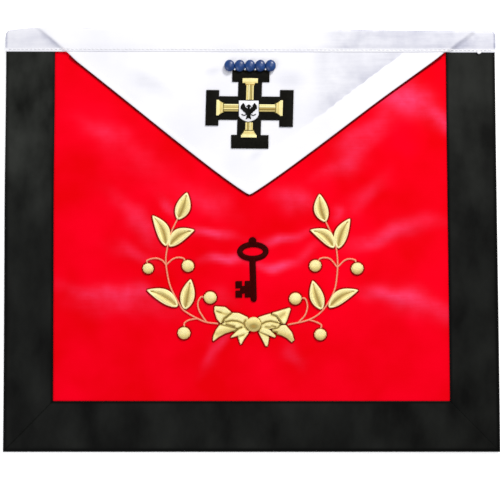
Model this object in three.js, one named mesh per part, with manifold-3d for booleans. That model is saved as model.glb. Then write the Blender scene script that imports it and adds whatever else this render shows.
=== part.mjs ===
// A ceremonial apron laid flat: a red satin field inside a folded black ribbon, a white waistband,
// a white triangular flap and gold, black and blue embroidery. All sizes are in millimetres.
// +X runs to the right of the face, +Y towards the waist and +Z out of the face. The back lies on
// z = 0 and the origin is in the middle of the apron there.

import * as THREE from 'three';
import * as BufferGeometryUtils from 'three/addons/utils/BufferGeometryUtils.js';
import Module from 'manifold-3d';

const wasm = await Module();
wasm.setup();

// Whole apron
const APRON_WIDTH = 400;
const APRON_HEIGHT = 344;
const CLEARANCE = 0.3;
const LEAN = 1.2;

// Field
const PANEL_WALL = 1.6;

// Black ribbon, folded round the sides and the bottom
const RIBBON_WALL = 1.0;
const RIBBON_WIDTH = 40.5;
const RIBBON_RETURN = 12;

// Waistband, folded over the top edge
const BAND_WALL = 1.0;
const BAND_DEPTH = 19;
const BAND_RETURN = 16;
const BAND_TILT = 2.6;
const CORNER_LENGTH = 14;
const CORNER_DROP = 7;
const BAND_RAMP = 6;

// Flap
const FLAP_WALL = 1.2;
const FLAP_DROP = 135.7;
const FLAP_INSET_LEFT = 22;
const FLAP_INSET_RIGHT = 14;
const FLAP_TIP_OFFSET = -0.8;
const FLAP_SETTLE = 28;

// Cross, shield and bird
const CROSS_WIDTH = 71.5;
const CROSS_HEIGHT = 64.2;
const CROSS_BAR = 30.4;
const CROSS_BAR_DEPTH = 10.3;
const CROSS_STEM = 19.2;
const CROSS_RISE = 1.2;
const CROSS_BELOW_BAND = 46.4;
const CROSS_OFFSET = -0.5;
const GOLD_SHAFT = 6.5;
const GOLD_CAP = 13.4;
const GOLD_CAP_DEPTH = 5;
const GOLD_REACH = 0.76;
const GOLD_RISE = 1.6;
const SHIELD_WIDTH = 16.4;
const SHIELD_HEIGHT = 18.4;
const SHIELD_RISE = 0.8;
const BIRD_RISE = 0.6;
const BIRD_SIZE = 13.6;

// Beads over the cross
const BEAD_COUNT = 5;
const BEAD_DIAMETER = 7.8;
const BEAD_HEIGHT = 5.6;

// Wreath
const WREATH_WIDTH = 173;
const WREATH_HEIGHT = 122;
const WREATH_ABOVE_HEM = 149.5;
const WREATH_OFFSET = 2.1;
const STEM_DIAMETER = 1.3;
const LEAF_RISE = 2.2;
const BERRY_DIAMETER = 10.5;
const BERRY_RISE = 3.4;

// Bow under the wreath
const BOW_WIDTH = 66;
const BOW_RISE = 2;
const KNOT_DIAMETER = 12.2;
const KNOT_RISE = 3.2;

// Key
const KEY_RING_WIDTH = 25.4;
const KEY_RING_HEIGHT = 15.8;
const KEY_RING_WALL = 4.2;
const KEY_LENGTH = 55.7;
const KEY_SHANK = 5.1;
const KEY_KNOB = 6.2;
const KEY_BIT_WIDTH = 12.3;
const KEY_BIT_HEIGHT = 13.6;
const KEY_BIT_FROM_END = 5.3;
const KEY_NOTCH = 2.1;
const KEY_RISE = 1.3;
const KEY_TILT = 1.4;

// Fineness of the faceted solids
const CLOTH_STEP = 20;
const FINE_STEP = 4;
const CORD_STEP = 5;
const CORD_SIDES = 5;

// Places worked out from the sizes above
const HALF_WIDTH = APRON_WIDTH / 2;
const HALF_HEIGHT = APRON_HEIGHT / 2;
const PANEL_BOTTOM = RIBBON_WALL + CLEARANCE;
const PANEL_TOP = PANEL_BOTTOM + PANEL_WALL;
const RIBBON_TOP = PANEL_TOP + CLEARANCE + RIBBON_WALL;
const RIBBON_INNER = HALF_WIDTH - RIBBON_WIDTH;
const BAND_FOOT = HALF_HEIGHT - BAND_DEPTH;
const WREATH_CENTRE = [WREATH_OFFSET, WREATH_ABOVE_HEM - HALF_HEIGHT];
const CROSS_CENTRE = [CROSS_OFFSET, BAND_FOOT - CROSS_BELOW_BAND];

// Soft swells of the cloth, a row each: the centre as shares of the apron's half width and half
// height, the heading of the long axis in degrees, both half lengths as shares of the apron's
// width, and the height as a share of the panel's wall.
const SWELLS = [
  { across: -0.61, up: -0.22, heading: 82, long: 0.17, wide: 0.09, high: 0.6 },
  { across: 0.59, up: -0.27, heading: -78, long: 0.15, wide: 0.08, high: 0.6 },
  { across: -0.50, up: 0.60, heading: -37, long: 0.16, wide: 0.085, high: 0.45 },
  { across: 0.52, up: 0.60, heading: 36, long: 0.15, wide: 0.085, high: 0.5 },
];

// Laurel leaves, a row each: tip and base as shares of the wreath's half width and half height
// from its centre, the width and the sideways curve as shares of the leaf's length.
const LEAVES = [
  { name: 'leaf_left_1', tip: [-0.623, 0.988], base: [-0.702, 0.630], width: 0.50, curve: -0.03 },
  { name: 'leaf_left_2', tip: [-0.948, 0.683], base: [-0.815, 0.270], width: 0.40, curve: -0.05 },
  { name: 'leaf_left_3', tip: [-0.542, 0.481], base: [-0.782, 0.265], width: 0.42, curve: 0.02 },
  { name: 'leaf_left_4', tip: [-0.994, -0.317], base: [-0.685, -0.540], width: 0.37, curve: -0.05 },
  { name: 'leaf_left_5', tip: [-0.579, -0.180], base: [-0.640, -0.570], width: 0.48, curve: 0.02 },
  { name: 'leaf_right_1', tip: [0.636, 0.972], base: [0.688, 0.595], width: 0.50, curve: 0.03 },
  { name: 'leaf_right_2', tip: [0.548, 0.486], base: [0.760, 0.245], width: 0.43, curve: -0.02 },
  { name: 'leaf_right_3', tip: [0.921, 0.624], base: [0.806, 0.240], width: 0.42, curve: 0.05 },
  { name: 'leaf_right_4', tip: [0.566, -0.185], base: [0.652, -0.570], width: 0.47, curve: -0.02 },
  { name: 'leaf_right_5', tip: [0.996, -0.322], base: [0.714, -0.550], width: 0.39, curve: 0.05 },
];

// The cross-section of a leaf's padding, a row for each point from edge to edge: its place as a
// share of the half width and its height as a share of LEAF_RISE, with a groove along the middle.
const LEAF_SECTION = [
  { across: 1, up: 0.3 },
  { across: 0.55, up: 1 },
  { across: 0, up: 0.62 },
  { across: -0.55, up: 1 },
  { across: -1, up: 0.3 },
];

// Berries, a row each: centre, and the stalk's root, shoulder and crest, all in the wreath's
// shares, and the size as a share of BERRY_DIAMETER.
const BERRIES = [
  { name: 'berry_left_1', at: [-0.980, -0.031], size: 0.90,
    root: [-0.819, 0.028], shoulder: [-0.864, 0.092], crest: [-0.937, 0.112] },
  { name: 'berry_left_2', at: [-0.609, 0.003], size: 1.00,
    root: [-0.817, 0.010], shoulder: [-0.758, 0.096], crest: [-0.678, 0.135] },
  { name: 'berry_left_3', at: [-0.397, -0.420], size: 1.01,
    root: [-0.441, -0.741], shoulder: [-0.511, -0.572], crest: [-0.494, -0.440] },
  { name: 'berry_left_4', at: [-0.645, -0.894], size: 1.05,
    root: [-0.527, -0.700], shoulder: [-0.601, -0.719], crest: [-0.645, -0.758] },
  { name: 'berry_right_1', at: [0.591, 0.004], size: 1.01,
    root: [0.801, -0.010], shoulder: [0.742, 0.085], crest: [0.658, 0.120] },
  { name: 'berry_right_2', at: [0.978, -0.036], size: 1.00,
    root: [0.805, 0.000], shoulder: [0.860, 0.080], crest: [0.926, 0.095] },
  { name: 'berry_right_3', at: [0.401, -0.434], size: 1.01,
    root: [0.439, -0.746], shoulder: [0.509, -0.612], crest: [0.498, -0.466] },
  { name: 'berry_right_4', at: [0.634, -0.912], size: 1.01,
    root: [0.529, -0.704], shoulder: [0.595, -0.727], crest: [0.646, -0.769] },
];

// The dome of a berry, a row for each ring from the base up: radius and height as shares.
const BERRY_PROFILE = [
  { out: 1, up: 0 },
  { out: 1, up: 0.35 },
  { out: 0.8, up: 0.75 },
  { out: 0.4, up: 1 },
];

// Main stems from the top leaf down to the bow, in the wreath's shares.
const STEMS = [
  { name: 'stem_left',
    line: [[-0.715, 0.610], [-0.771, 0.444], [-0.808, 0.230], [-0.819, 0.039], [-0.781, -0.259],
      [-0.698, -0.493], [-0.640, -0.602], [-0.467, -0.735], [-0.330, -0.768]] },
  { name: 'stem_right',
    line: [[0.698, 0.575], [0.773, 0.337], [0.799, 0.144], [0.798, -0.089], [0.764, -0.344],
      [0.659, -0.578], [0.529, -0.704], [0.330, -0.775]] },
];

// The bow's pieces from the top one down, each with its outline as shares of the bow's half
// width from the knot's centre. Each piece ends short of those before it.
const BOW_CENTRE = [0.006, -0.777];
const BOW_PIECES = [
  { name: 'bow_loop_left',
    outline: [[-0.54, 0.29], [-0.36, 0.28], [-0.15, 0.18], [-0.12, 0.04], [-0.22, 0.01],
      [-0.36, 0.07], [-0.52, 0.10], [-0.69, 0.07], [-0.76, 0.04]] },
  { name: 'bow_loop_right',
    outline: [[0.12, 0.18], [0.30, 0.24], [0.42, 0.27], [0.54, 0.20], [0.67, 0.01], [0.57, 0.05],
      [0.39, 0.08], [0.22, 0.02], [0.12, 0.04]] },
  { name: 'bow_fold_left',
    outline: [[-0.97, 0.45], [-0.70, 0.43], [-0.54, 0.30], [-0.77, 0.04], [-0.82, 0.02],
      [-0.91, 0.13], [-0.97, 0.31]] },
  { name: 'bow_fold_right',
    outline: [[0.44, 0.28], [0.87, 0.41], [0.92, 0.37], [0.82, 0.08], [0.78, 0.01],
      [0.68, 0.01], [0.55, 0.20]] },
  { name: 'bow_streamer_left',
    outline: [[-0.36, -0.11], [-0.21, -0.07], [-0.10, -0.17], [-0.18, -0.25], [-0.36, -0.28],
      [-0.55, -0.33], [-0.57, -0.31], [-0.43, -0.17]] },
  { name: 'bow_streamer_right',
    outline: [[0.12, -0.11], [0.23, -0.07], [0.40, -0.13], [0.55, -0.28], [0.51, -0.33],
      [0.39, -0.28], [0.15, -0.19]] },
  { name: 'bow_band_left',
    outline: [[-0.69, 0.07], [-0.52, 0.10], [-0.36, 0.07], [-0.15, 0.01], [-0.15, -0.09],
      [-0.36, -0.10], [-0.55, -0.07], [-0.79, -0.01], [-0.76, 0.03]] },
  { name: 'bow_band_right',
    outline: [[0.15, 0.01], [0.39, 0.08], [0.57, 0.05], [0.68, -0.01], [0.58, -0.09],
      [0.39, -0.12], [0.15, -0.09]] },
  { name: 'bow_tail_left',
    outline: [[-0.84, -0.01], [-0.75, -0.02], [-0.55, -0.07], [-0.40, -0.10], [-0.44, -0.15],
      [-0.57, -0.19], [-0.70, -0.23], [-0.85, -0.31], [-1.01, -0.43], [-1.00, -0.29],
      [-0.93, -0.13]] },
  { name: 'bow_tail_right',
    outline: [[0.68, -0.02], [0.79, -0.01], [0.94, -0.19], [1.00, -0.38], [0.94, -0.45],
      [0.81, -0.34], [0.67, -0.27], [0.49, -0.19], [0.43, -0.13], [0.58, -0.10]] },
  { name: 'bow_streamer_middle',
    outline: [[-0.10, -0.19], [-0.24, -0.38], [-0.30, -0.49], [-0.33, -0.49], [-0.38, -0.35],
      [-0.40, -0.28], [-0.30, -0.26]] },
  { name: 'bow_streamer_end',
    outline: [[0.10, -0.17], [0.22, -0.22], [0.38, -0.30], [0.37, -0.41], [0.34, -0.54],
      [0.29, -0.54], [0.21, -0.38]] },
];

// Right half of the bird's outline from its head to its tail, as shares of BIRD_SIZE. The left
// half mirrors it.
const BIRD_OUTLINE = [
  [0, 0.42], [0.09, 0.38], [0.17, 0.30], [0.07, 0.27], [0.08, 0.13], [0.22, 0.22], [0.34, 0.50],
  [0.50, 0.28], [0.44, 0.04], [0.27, -0.10], [0.12, -0.13], [0.20, -0.46], [0, -0.38],
];

// Rises smoothly from 0 at the first place to 1 at the second.
function ease(from, to, at) {
  const share = THREE.MathUtils.clamp((at - from) / (to - from), 0, 1);
  return share * share * (3 - 2 * share);
}

// Height of the apron's top edge, which tilts a little and drops at both rounded corners.
function topEdge(x) {
  const fromEnd = Math.min(Math.max(HALF_WIDTH - Math.abs(x), 0), CORNER_LENGTH);
  const corner = CORNER_DROP * (1 - fromEnd / CORNER_LENGTH) ** 2;
  return HALF_HEIGHT - BAND_TILT * x / APRON_WIDTH - corner;
}

// Top edge of what the waistband folds over.
function tuckedEdge(x) {
  return topEdge(x) - BAND_WALL - CLEARANCE;
}

// The cloth lies on the waistband's return near the top, and comes down to the ground at the hem.
function rise(y) {
  const [low, high] = [RIBBON_WIDTH - HALF_HEIGHT, HALF_HEIGHT - BAND_RETURN];
  return (BAND_WALL + CLEARANCE) * THREE.MathUtils.clamp((y - low) / (high - low), 0, 1);
}

// Height of the soft swells at a place.
function swell(x, y) {
  let height = 0;
  for (const row of SWELLS) {
    const turn = THREE.MathUtils.degToRad(row.heading);
    const dx = x - row.across * HALF_WIDTH;
    const dy = y - row.up * HALF_HEIGHT;
    const along = (dx * Math.cos(turn) + dy * Math.sin(turn)) / (row.long * APRON_WIDTH);
    const aside = (dy * Math.cos(turn) - dx * Math.sin(turn)) / (row.wide * APRON_WIDTH);
    const inside = Math.max(0, 1 - along * along - aside * aside);
    height += row.high * PANEL_WALL * inside ** 3;
  }
  return height;
}

// Sideways lean of the apron as it lies.
function lean(y) {
  return LEAN * (ease(HALF_HEIGHT, -HALF_HEIGHT, y) - 0.5);
}

// Heights that pieces are laid at: the cloth itself, the face of the field, the face of the flap
// and the top of the cross.
const onGround = (x, y) => swell(x, y);
const onCloth = (x, y) => rise(y) + swell(x, y);
const onPanel = (x, y) => PANEL_TOP + CLEARANCE + onCloth(x, y);
const onFlap = (x, y) => flapTop(x) + CLEARANCE + onCloth(x, y);
const onCross = (x, y) => CROSS_RISE + CLEARANCE + onFlap(x, y);
const onShield = (x, y) => SHIELD_RISE + CLEARANCE + onCross(x, y);

// The flap lies on the ribbon at both sides and settles onto the field between them.
function flapTop(x) {
  const onRibbon = ease(RIBBON_INNER - FLAP_SETTLE, RIBBON_INNER - 2, Math.abs(x));
  return PANEL_TOP + CLEARANCE + FLAP_WALL + (RIBBON_WALL + CLEARANCE) * onRibbon;
}

// The flap's slanting edges, as the height of the edge over a place.
const FLAP_TIP = [FLAP_TIP_OFFSET, HALF_HEIGHT - FLAP_DROP];
const FLAP_SLOPE_LEFT = FLAP_DROP / (HALF_WIDTH - FLAP_INSET_LEFT + FLAP_TIP[0]);
const FLAP_SLOPE_RIGHT = FLAP_DROP / (HALF_WIDTH - FLAP_INSET_RIGHT - FLAP_TIP[0]);

function flapSlope(x) {
  return x < FLAP_TIP[0] ? FLAP_SLOPE_LEFT : FLAP_SLOPE_RIGHT;
}

function flapEdge(x) {
  return FLAP_TIP[1] + Math.abs(x - FLAP_TIP[0]) * flapSlope(x);
}

// How far a place lies outside the flap's slanting edge.
function outsideFlap(x, y) {
  return (flapEdge(x) - y) / Math.hypot(1, flapSlope(x));
}

// The waistband runs over the flap and ramps down to the ribbon beside it.
function bandTop(x, y) {
  const over = 1 - ease(2, 2 + BAND_RAMP, outsideFlap(x, y));
  const step = (flapTop(x) - RIBBON_TOP) * over;
  return RIBBON_TOP + step + CLEARANCE + BAND_WALL + rise(y);
}

// Values between the given stops, with steps no longer than the step that each stretch has.
function spread(stops, steps) {
  const values = [stops[0]];
  for (let i = 1; i < stops.length; i++) {
    const from = stops[i - 1];
    const span = stops[i] - from;
    const count = Math.max(1, Math.ceil(span / steps[i - 1]));
    for (let k = 1; k <= count; k++) {
      values.push(from + span * k / count);
    }
  }
  return values;
}

// Triangles that close the end of a loft.
function capOf(ring) {
  const normal = new THREE.Vector3();
  ring.forEach((a, i) => {
    const b = ring[(i + 1) % ring.length];
    normal.x += (a[1] - b[1]) * (a[2] + b[2]);
    normal.y += (a[2] - b[2]) * (a[0] + b[0]);
    normal.z += (a[0] - b[0]) * (a[1] + b[1]);
  });
  const size = normal.toArray().map(Math.abs);
  const drop = size.indexOf(Math.max(...size));
  const [u, v] = [0, 1, 2].filter((axis) => axis !== drop);
  const flat = ring.map((point) => new THREE.Vector2(point[u], point[v]));
  const turned = THREE.ShapeUtils.isClockWise(flat);
  const order = flat.map((_, i) => (turned ? flat.length - 1 - i : i));
  const faces = THREE.ShapeUtils.triangulateShape(order.map((i) => flat[i]), []);
  return faces.map((face) => face.map((i) => order[i]))
    .map(([a, b, c]) => facing(ring, a, b, c).dot(normal) > 0 ? [a, b, c] : [a, c, b]);
}

function facing(ring, a, b, c) {
  const [p, q, r] = [a, b, c].map((i) => new THREE.Vector3(...ring[i]));
  return q.sub(p).cross(r.sub(p));
}

// A closed body through rings that all have the same number of points.
function loft(rings) {
  const count = rings[0].length;
  const index = [];
  for (let r = 0; r + 1 < rings.length; r++) {
    for (let i = 0; i < count; i++) {
      const a = r * count + i;
      const b = r * count + (i + 1) % count;
      index.push(a, b, b + count, a, b + count, a + count);
    }
  }
  const last = (rings.length - 1) * count;
  capOf(rings[0]).forEach(([a, b, c]) => index.push(a, c, b));
  capOf(rings[rings.length - 1]).forEach(([a, b, c]) => index.push(last + a, last + b, last + c));
  const geometry = new THREE.BufferGeometry();
  geometry.setAttribute('position', new THREE.Float32BufferAttribute(rings.flat(2), 3));
  geometry.setIndex(index);
  return outward(geometry);
}

// Turns the faces of a closed body outward.
function outward(geometry) {
  const at = geometry.getAttribute('position');
  const index = geometry.getIndex().array;
  const corner = (i) => new THREE.Vector3().fromBufferAttribute(at, index[i]);
  let volume = 0;
  for (let i = 0; i < index.length; i += 3) {
    volume += corner(i).dot(corner(i + 1).cross(corner(i + 2)));
  }
  if (volume < 0) {
    geometry.setIndex([...index].reverse());
  }
  return geometry;
}

function solidOf(geometry) {
  const bare = geometry.clone();
  bare.deleteAttribute('normal');
  bare.deleteAttribute('uv');
  const merged = BufferGeometryUtils.mergeVertices(bare, 1e-4);
  return new wasm.Manifold(new wasm.Mesh({
    numProp: 3,
    vertProperties: new Float32Array(merged.getAttribute('position').array),
    triVerts: new Uint32Array(merged.getIndex().array),
  }));
}

function geometryOf(solid) {
  const mesh = solid.getMesh();
  const geometry = new THREE.BufferGeometry();
  geometry.setAttribute('position', new THREE.BufferAttribute(mesh.vertProperties, 3));
  geometry.setIndex(new THREE.BufferAttribute(mesh.triVerts, 1));
  return geometry;
}

const joined = (geometries) => geometryOf(geometries.map(solidOf).reduce((a, b) => a.add(b)));

// Cuts away the given solids and keeps the largest piece that is left.
function cutBy(geometry, cutters) {
  const left = cutters.reduce((solid, cutter) => solid.subtract(cutter), solidOf(geometry));
  const pieces = left.decompose();
  return geometryOf(pieces.reduce((a, b) => (b.volume() > a.volume() ? b : a)));
}

// The section of a ribbon folded round an edge, as depth in from the edge and height. stops are
// the depths that the front leg bends at, and topAt gives its upper face at a depth.
function foldSection(front, back, wall, stops, topAt) {
  const round = wall / 2;
  const inner = [wall, ...stops];
  return [
    [back, 0], [round, 0], [0, round], [0, topAt(0) - round], [round, topAt(round)],
    ...inner.map((depth) => [depth, topAt(depth)]),
    [front, topAt(front)], [front, topAt(front) - wall],
    ...inner.toReversed().map((depth) => [depth, topAt(depth) - wall]),
    [wall, wall], [back, wall],
  ];
}

// A shape through points given as x and y.
function shapeOf(points) {
  return new THREE.Shape(points.map(([x, y]) => new THREE.Vector2(x, y)));
}

// A flat piece of embroidery with softened edges, standing on z = 0.
function pad(points, height) {
  const soft = Math.min(0.5, height / 3);
  return new THREE.ExtrudeGeometry(shapeOf(points), {
    depth: height - 2 * soft,
    bevelThickness: soft,
    bevelSize: soft,
    bevelOffset: -soft,
    bevelSegments: 1,
  }).translate(0, 0, soft);
}

// A plain plate standing on z = 0.
function plate(shape, height, curveSegments = 12) {
  return new THREE.ExtrudeGeometry(shape, { depth: height, bevelEnabled: false, curveSegments });
}

// The room that a piece of embroidery and the clearance round it take up, as a tall block.
function roomOf(points) {
  return solidOf(new THREE.ExtrudeGeometry(shapeOf(points), {
    depth: 2 * KNOT_RISE,
    bevelThickness: KNOT_RISE,
    bevelSize: CLEARANCE,
    bevelSegments: 1,
  }).translate(0, 0, -KNOT_RISE / 2));
}

const apron = new THREE.Group();

// Lays a piece at a height that may differ from place to place, and adds it to the apron.
function lay(name, geometry, level, colour, roughness, metalness = 0) {
  const at = geometry.getAttribute('position');
  for (let i = 0; i < at.count; i++) {
    const [x, y, z] = [at.getX(i), at.getY(i), at.getZ(i)];
    at.setXYZ(i, x + lean(y), y, z + level(x, y));
  }
  geometry.computeVertexNormals();
  const material = new THREE.MeshStandardMaterial({ color: colour, roughness, metalness });
  const mesh = new THREE.Mesh(geometry, material);
  mesh.name = name;
  apron.add(mesh);
}

const RED = '#e80010';
const BLACK = '#20211f';
const WHITE = '#ececf6';
const GOLD = '#efe68f';
const STEM_GOLD = '#e9a27c';
const BLUE = '#1f4f9c';
const KEY_BLACK = '#160604';

// Red field
function panel() {
  const edge = HALF_WIDTH - RIBBON_WALL - CLEARANCE;
  const foot = -HALF_HEIGHT + RIBBON_WALL + CLEARANCE;
  const bend = HALF_WIDTH - CORNER_LENGTH;
  const rows = spread([0, 1], [CLOTH_STEP / APRON_HEIGHT]);
  return loft(spread([-edge, -bend, bend, edge], [FINE_STEP, CLOTH_STEP, FINE_STEP]).map((x) => {
    const up = rows.map((share) => THREE.MathUtils.lerp(foot, tuckedEdge(x), share));
    return [
      ...up.map((y) => [x, y, PANEL_BOTTOM]),
      ...up.toReversed().map((y) => [x, y, PANEL_TOP]),
    ];
  }));
}
lay('apron_panel', panel(), onCloth, RED, 0.45);

// Black ribbon: at(share, depth) gives the place of a section's point along the ribbon.
function ribbon(length, at) {
  const stops = [0.15, 0.35, 0.65].map((share) => share * RIBBON_WIDTH);
  const section = foldSection(RIBBON_WIDTH, RIBBON_RETURN, RIBBON_WALL, stops, () => RIBBON_TOP);
  const shares = spread([0, 1], [CLOTH_STEP / length]);
  return loft(shares.map((share) => section.map(([depth, z]) => [...at(share, depth), z])));
}

const MITRE_GAP = CLEARANCE * Math.SQRT1_2;

function sideRibbon(side) {
  return ribbon(APRON_HEIGHT, (share, depth) => {
    const x = side * (HALF_WIDTH - depth);
    return [x, THREE.MathUtils.lerp(tuckedEdge(x), -HALF_HEIGHT + depth + MITRE_GAP, share)];
  });
}

function bottomRibbon() {
  return ribbon(APRON_WIDTH, (share, depth) => {
    const end = HALF_WIDTH - depth - MITRE_GAP;
    return [THREE.MathUtils.lerp(-end, end, share), -HALF_HEIGHT + depth];
  });
}
lay('border_left', sideRibbon(-1), onCloth, BLACK, 0.7);
lay('border_right', sideRibbon(1), onCloth, BLACK, 0.7);
lay('border_bottom', bottomRibbon(), onCloth, BLACK, 0.7);

// White flap, its section running from the slanting edge up to the waistband's fold
function flap() {
  const blunt = 1.5;
  const reach = (slope) => (FLAP_DROP - BAND_WALL - CLEARANCE - blunt) / slope;
  const settle = [RIBBON_INNER - FLAP_SETTLE, RIBBON_INNER];
  const [left, right] = [reach(FLAP_SLOPE_LEFT), reach(FLAP_SLOPE_RIGHT)];
  const stops = [
    FLAP_TIP[0] - left, -settle[1], -settle[0], FLAP_TIP[0],
    settle[0], settle[1], FLAP_TIP[0] + right,
  ];
  const steps = [FINE_STEP * 2, FINE_STEP * 2, CLOTH_STEP, CLOTH_STEP, FINE_STEP * 2, FINE_STEP * 2];
  const rows = spread([0, 1], [CLOTH_STEP / FLAP_DROP]);
  return loft(spread(stops, steps).map((x) => {
    const up = rows.map((share) => THREE.MathUtils.lerp(flapEdge(x), tuckedEdge(x), share));
    return [
      ...up.map((y) => [x, y, flapTop(x) - FLAP_WALL]),
      ...up.toReversed().map((y) => [x, y, flapTop(x)]),
    ];
  }));
}
lay('flap', flap(), onCloth, WHITE, 0.4);

// White waistband, its section folded over the top edge
function waistband() {
  const bend = HALF_WIDTH - CORNER_LENGTH;
  const settled = RIBBON_INNER - FLAP_SETTLE;
  const rampEnd = Math.min(RIBBON_INNER - BAND_RAMP, settled + FLAP_SETTLE);
  const stops = [-HALF_WIDTH, -bend, -rampEnd, -settled, settled, rampEnd, bend, HALF_WIDTH];
  const steps = [
    FINE_STEP, FINE_STEP, FINE_STEP * 2, CLOTH_STEP, FINE_STEP * 2, FINE_STEP, FINE_STEP,
  ];
  const depths = [0.3, 0.53, 0.76].map((share) => share * BAND_DEPTH);
  return loft(spread(stops, steps).map((x) => {
    const fall = (topEdge(x) - BAND_FOOT) / BAND_DEPTH;
    const yAt = (depth) => (depth > BAND_WALL ? topEdge(x) - depth * fall : topEdge(x) - depth);
    const section = foldSection(BAND_DEPTH, BAND_RETURN, BAND_WALL, depths,
      (depth) => bandTop(x, yAt(depth)));
    return section.map(([depth, z]) => [x, yAt(depth), z]);
  }));
}
lay('waistband', waistband(), onGround, WHITE, 0.4);

// Black cross with a bar across the end of each arm
function crossOutline() {
  const [w, h, bar, deep, stem] = [
    CROSS_WIDTH / 2, CROSS_HEIGHT / 2, CROSS_BAR / 2, CROSS_BAR_DEPTH, CROSS_STEM / 2,
  ];
  const corner = [
    [w, bar], [w - deep, bar], [w - deep, stem], [stem, stem],
    [stem, h - deep], [bar, h - deep], [bar, h],
  ];
  const flip = (sx, sy) => corner.map(([x, y]) => [sx * x, sy * y]);
  return [
    ...flip(1, 1), ...flip(-1, 1).reverse(), ...flip(-1, -1), ...flip(1, -1).reverse(),
  ];
}
const move = (points, [x, y]) => points.map((point) => [point[0] + x, point[1] + y]);
lay('cross_potent', pad(move(crossOutline(), CROSS_CENTRE), CROSS_RISE), onFlap, BLACK, 0.8);

// Gold bar with a flared end, from the shield out along each arm of the cross
const SHIELD_FOOT = SHIELD_HEIGHT * 0.61;
const SHIELD_HEAD = SHIELD_HEIGHT - SHIELD_FOOT;
const GOLD_ARMS = [
  { name: 'cross_gold_up', turn: 90, start: SHIELD_HEAD, end: CROSS_HEIGHT / 2 },
  { name: 'cross_gold_down', turn: -90, start: SHIELD_FOOT, end: CROSS_HEIGHT / 2 },
  { name: 'cross_gold_left', turn: 180, start: SHIELD_WIDTH / 2, end: CROSS_WIDTH / 2 },
  { name: 'cross_gold_right', turn: 0, start: SHIELD_WIDTH / 2, end: CROSS_WIDTH / 2 },
];

function goldArm({ turn, start, end }) {
  const [from, to] = [start + 2 * CLEARANCE, end * GOLD_REACH];
  const [shaft, cap] = [GOLD_SHAFT / 2, GOLD_CAP / 2];
  const half = [
    [from, shaft], [to - GOLD_CAP_DEPTH, shaft], [to - GOLD_CAP_DEPTH * 0.6, cap * 0.8], [to, cap],
  ];
  const points = [...half, ...half.toReversed().map(([x, y]) => [x, -y])];
  return pad(points, GOLD_RISE)
    .rotateZ(THREE.MathUtils.degToRad(turn))
    .translate(...CROSS_CENTRE, 0);
}
GOLD_ARMS.forEach((arm) => lay(arm.name, goldArm(arm), onCross, GOLD, 0.4, 0.6));

// White shield and the bird on it
function shield() {
  const [w, head, foot] = [SHIELD_WIDTH / 2, SHIELD_HEAD, SHIELD_FOOT];
  const shape = new THREE.Shape();
  shape.moveTo(-w, head);
  shape.lineTo(-w, -foot * 0.35);
  shape.quadraticCurveTo(-w, -foot * 0.8, 0, -foot);
  shape.quadraticCurveTo(w, -foot * 0.8, w, -foot * 0.35);
  shape.lineTo(w, head);
  return plate(shape, SHIELD_RISE, 5).translate(...CROSS_CENTRE, 0);
}
lay('cross_shield', shield(), onCross, WHITE, 0.5);

function bird() {
  const mirrored = BIRD_OUTLINE.slice(1, -1).toReversed().map(([x, y]) => [-x, y]);
  const points = [...BIRD_OUTLINE, ...mirrored].map(([x, y]) => [x * BIRD_SIZE, y * BIRD_SIZE]);
  const middle = (SHIELD_HEAD - SHIELD_FOOT) / 2;
  return plate(shapeOf(points), BIRD_RISE).translate(CROSS_CENTRE[0], CROSS_CENTRE[1] + middle, 0);
}
lay('shield_bird', bird(), onShield, BLACK, 0.8);

// Blue beads side by side along the top of the cross
for (let i = 0; i < BEAD_COUNT; i++) {
  const pitch = BEAD_DIAMETER + CLEARANCE;
  const x = CROSS_CENTRE[0] + (i - (BEAD_COUNT - 1) / 2) * pitch;
  const y = CROSS_CENTRE[1] + CROSS_HEIGHT / 2 + BEAD_DIAMETER / 2 + CLEARANCE;
  const bead = new THREE.SphereGeometry(0.5, 10, 6)
    .rotateX(Math.PI / 2)
    .scale(BEAD_DIAMETER, BEAD_DIAMETER, BEAD_HEIGHT)
    .translate(x, y, BEAD_HEIGHT / 2);
  lay(`bead_${i + 1}`, bead, onFlap, BLUE, 0.15);
}

// A place in the wreath from its shares
function inWreath([across, up]) {
  return new THREE.Vector2(
    WREATH_CENTRE[0] + across * WREATH_WIDTH / 2,
    WREATH_CENTRE[1] + up * WREATH_HEIGHT / 2,
  );
}

// Cord stems with their stalks
function lineOf(points) {
  return new THREE.CatmullRomCurve3(points.map(({ x, y }) => new THREE.Vector3(x, y, 0)));
}

function stalkLine(row) {
  const [at, crest] = [inWreath(row.at), inWreath(row.crest)];
  const radius = row.size * BERRY_DIAMETER / 2 + 1.5 * CLEARANCE;
  const meets = crest.clone().sub(at).setLength(radius).add(at);
  return lineOf([inWreath(row.root), inWreath(row.shoulder), crest, meets]);
}

function along(line, shape) {
  const steps = Math.ceil(line.getLength() / CORD_STEP);
  return new THREE.ExtrudeGeometry(shape, { extrudePath: line, steps });
}

function cord(line) {
  const radius = STEM_DIAMETER / 2;
  const ring = Array.from({ length: CORD_SIDES }, (_, i) => [
    radius * Math.cos(2 * Math.PI * i / CORD_SIDES), radius * Math.sin(2 * Math.PI * i / CORD_SIDES),
  ]);
  return along(line, shapeOf(ring)).translate(0, 0, radius);
}

// The room that a cord needs, as a tall block along it
function cordRoom(line) {
  const [side, tall] = [STEM_DIAMETER / 2 + CLEARANCE, 2 * STEM_DIAMETER];
  const block = shapeOf([[-tall, -side], [tall, -side], [tall, side], [-tall, side]]);
  return solidOf(along(line, block));
}

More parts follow.
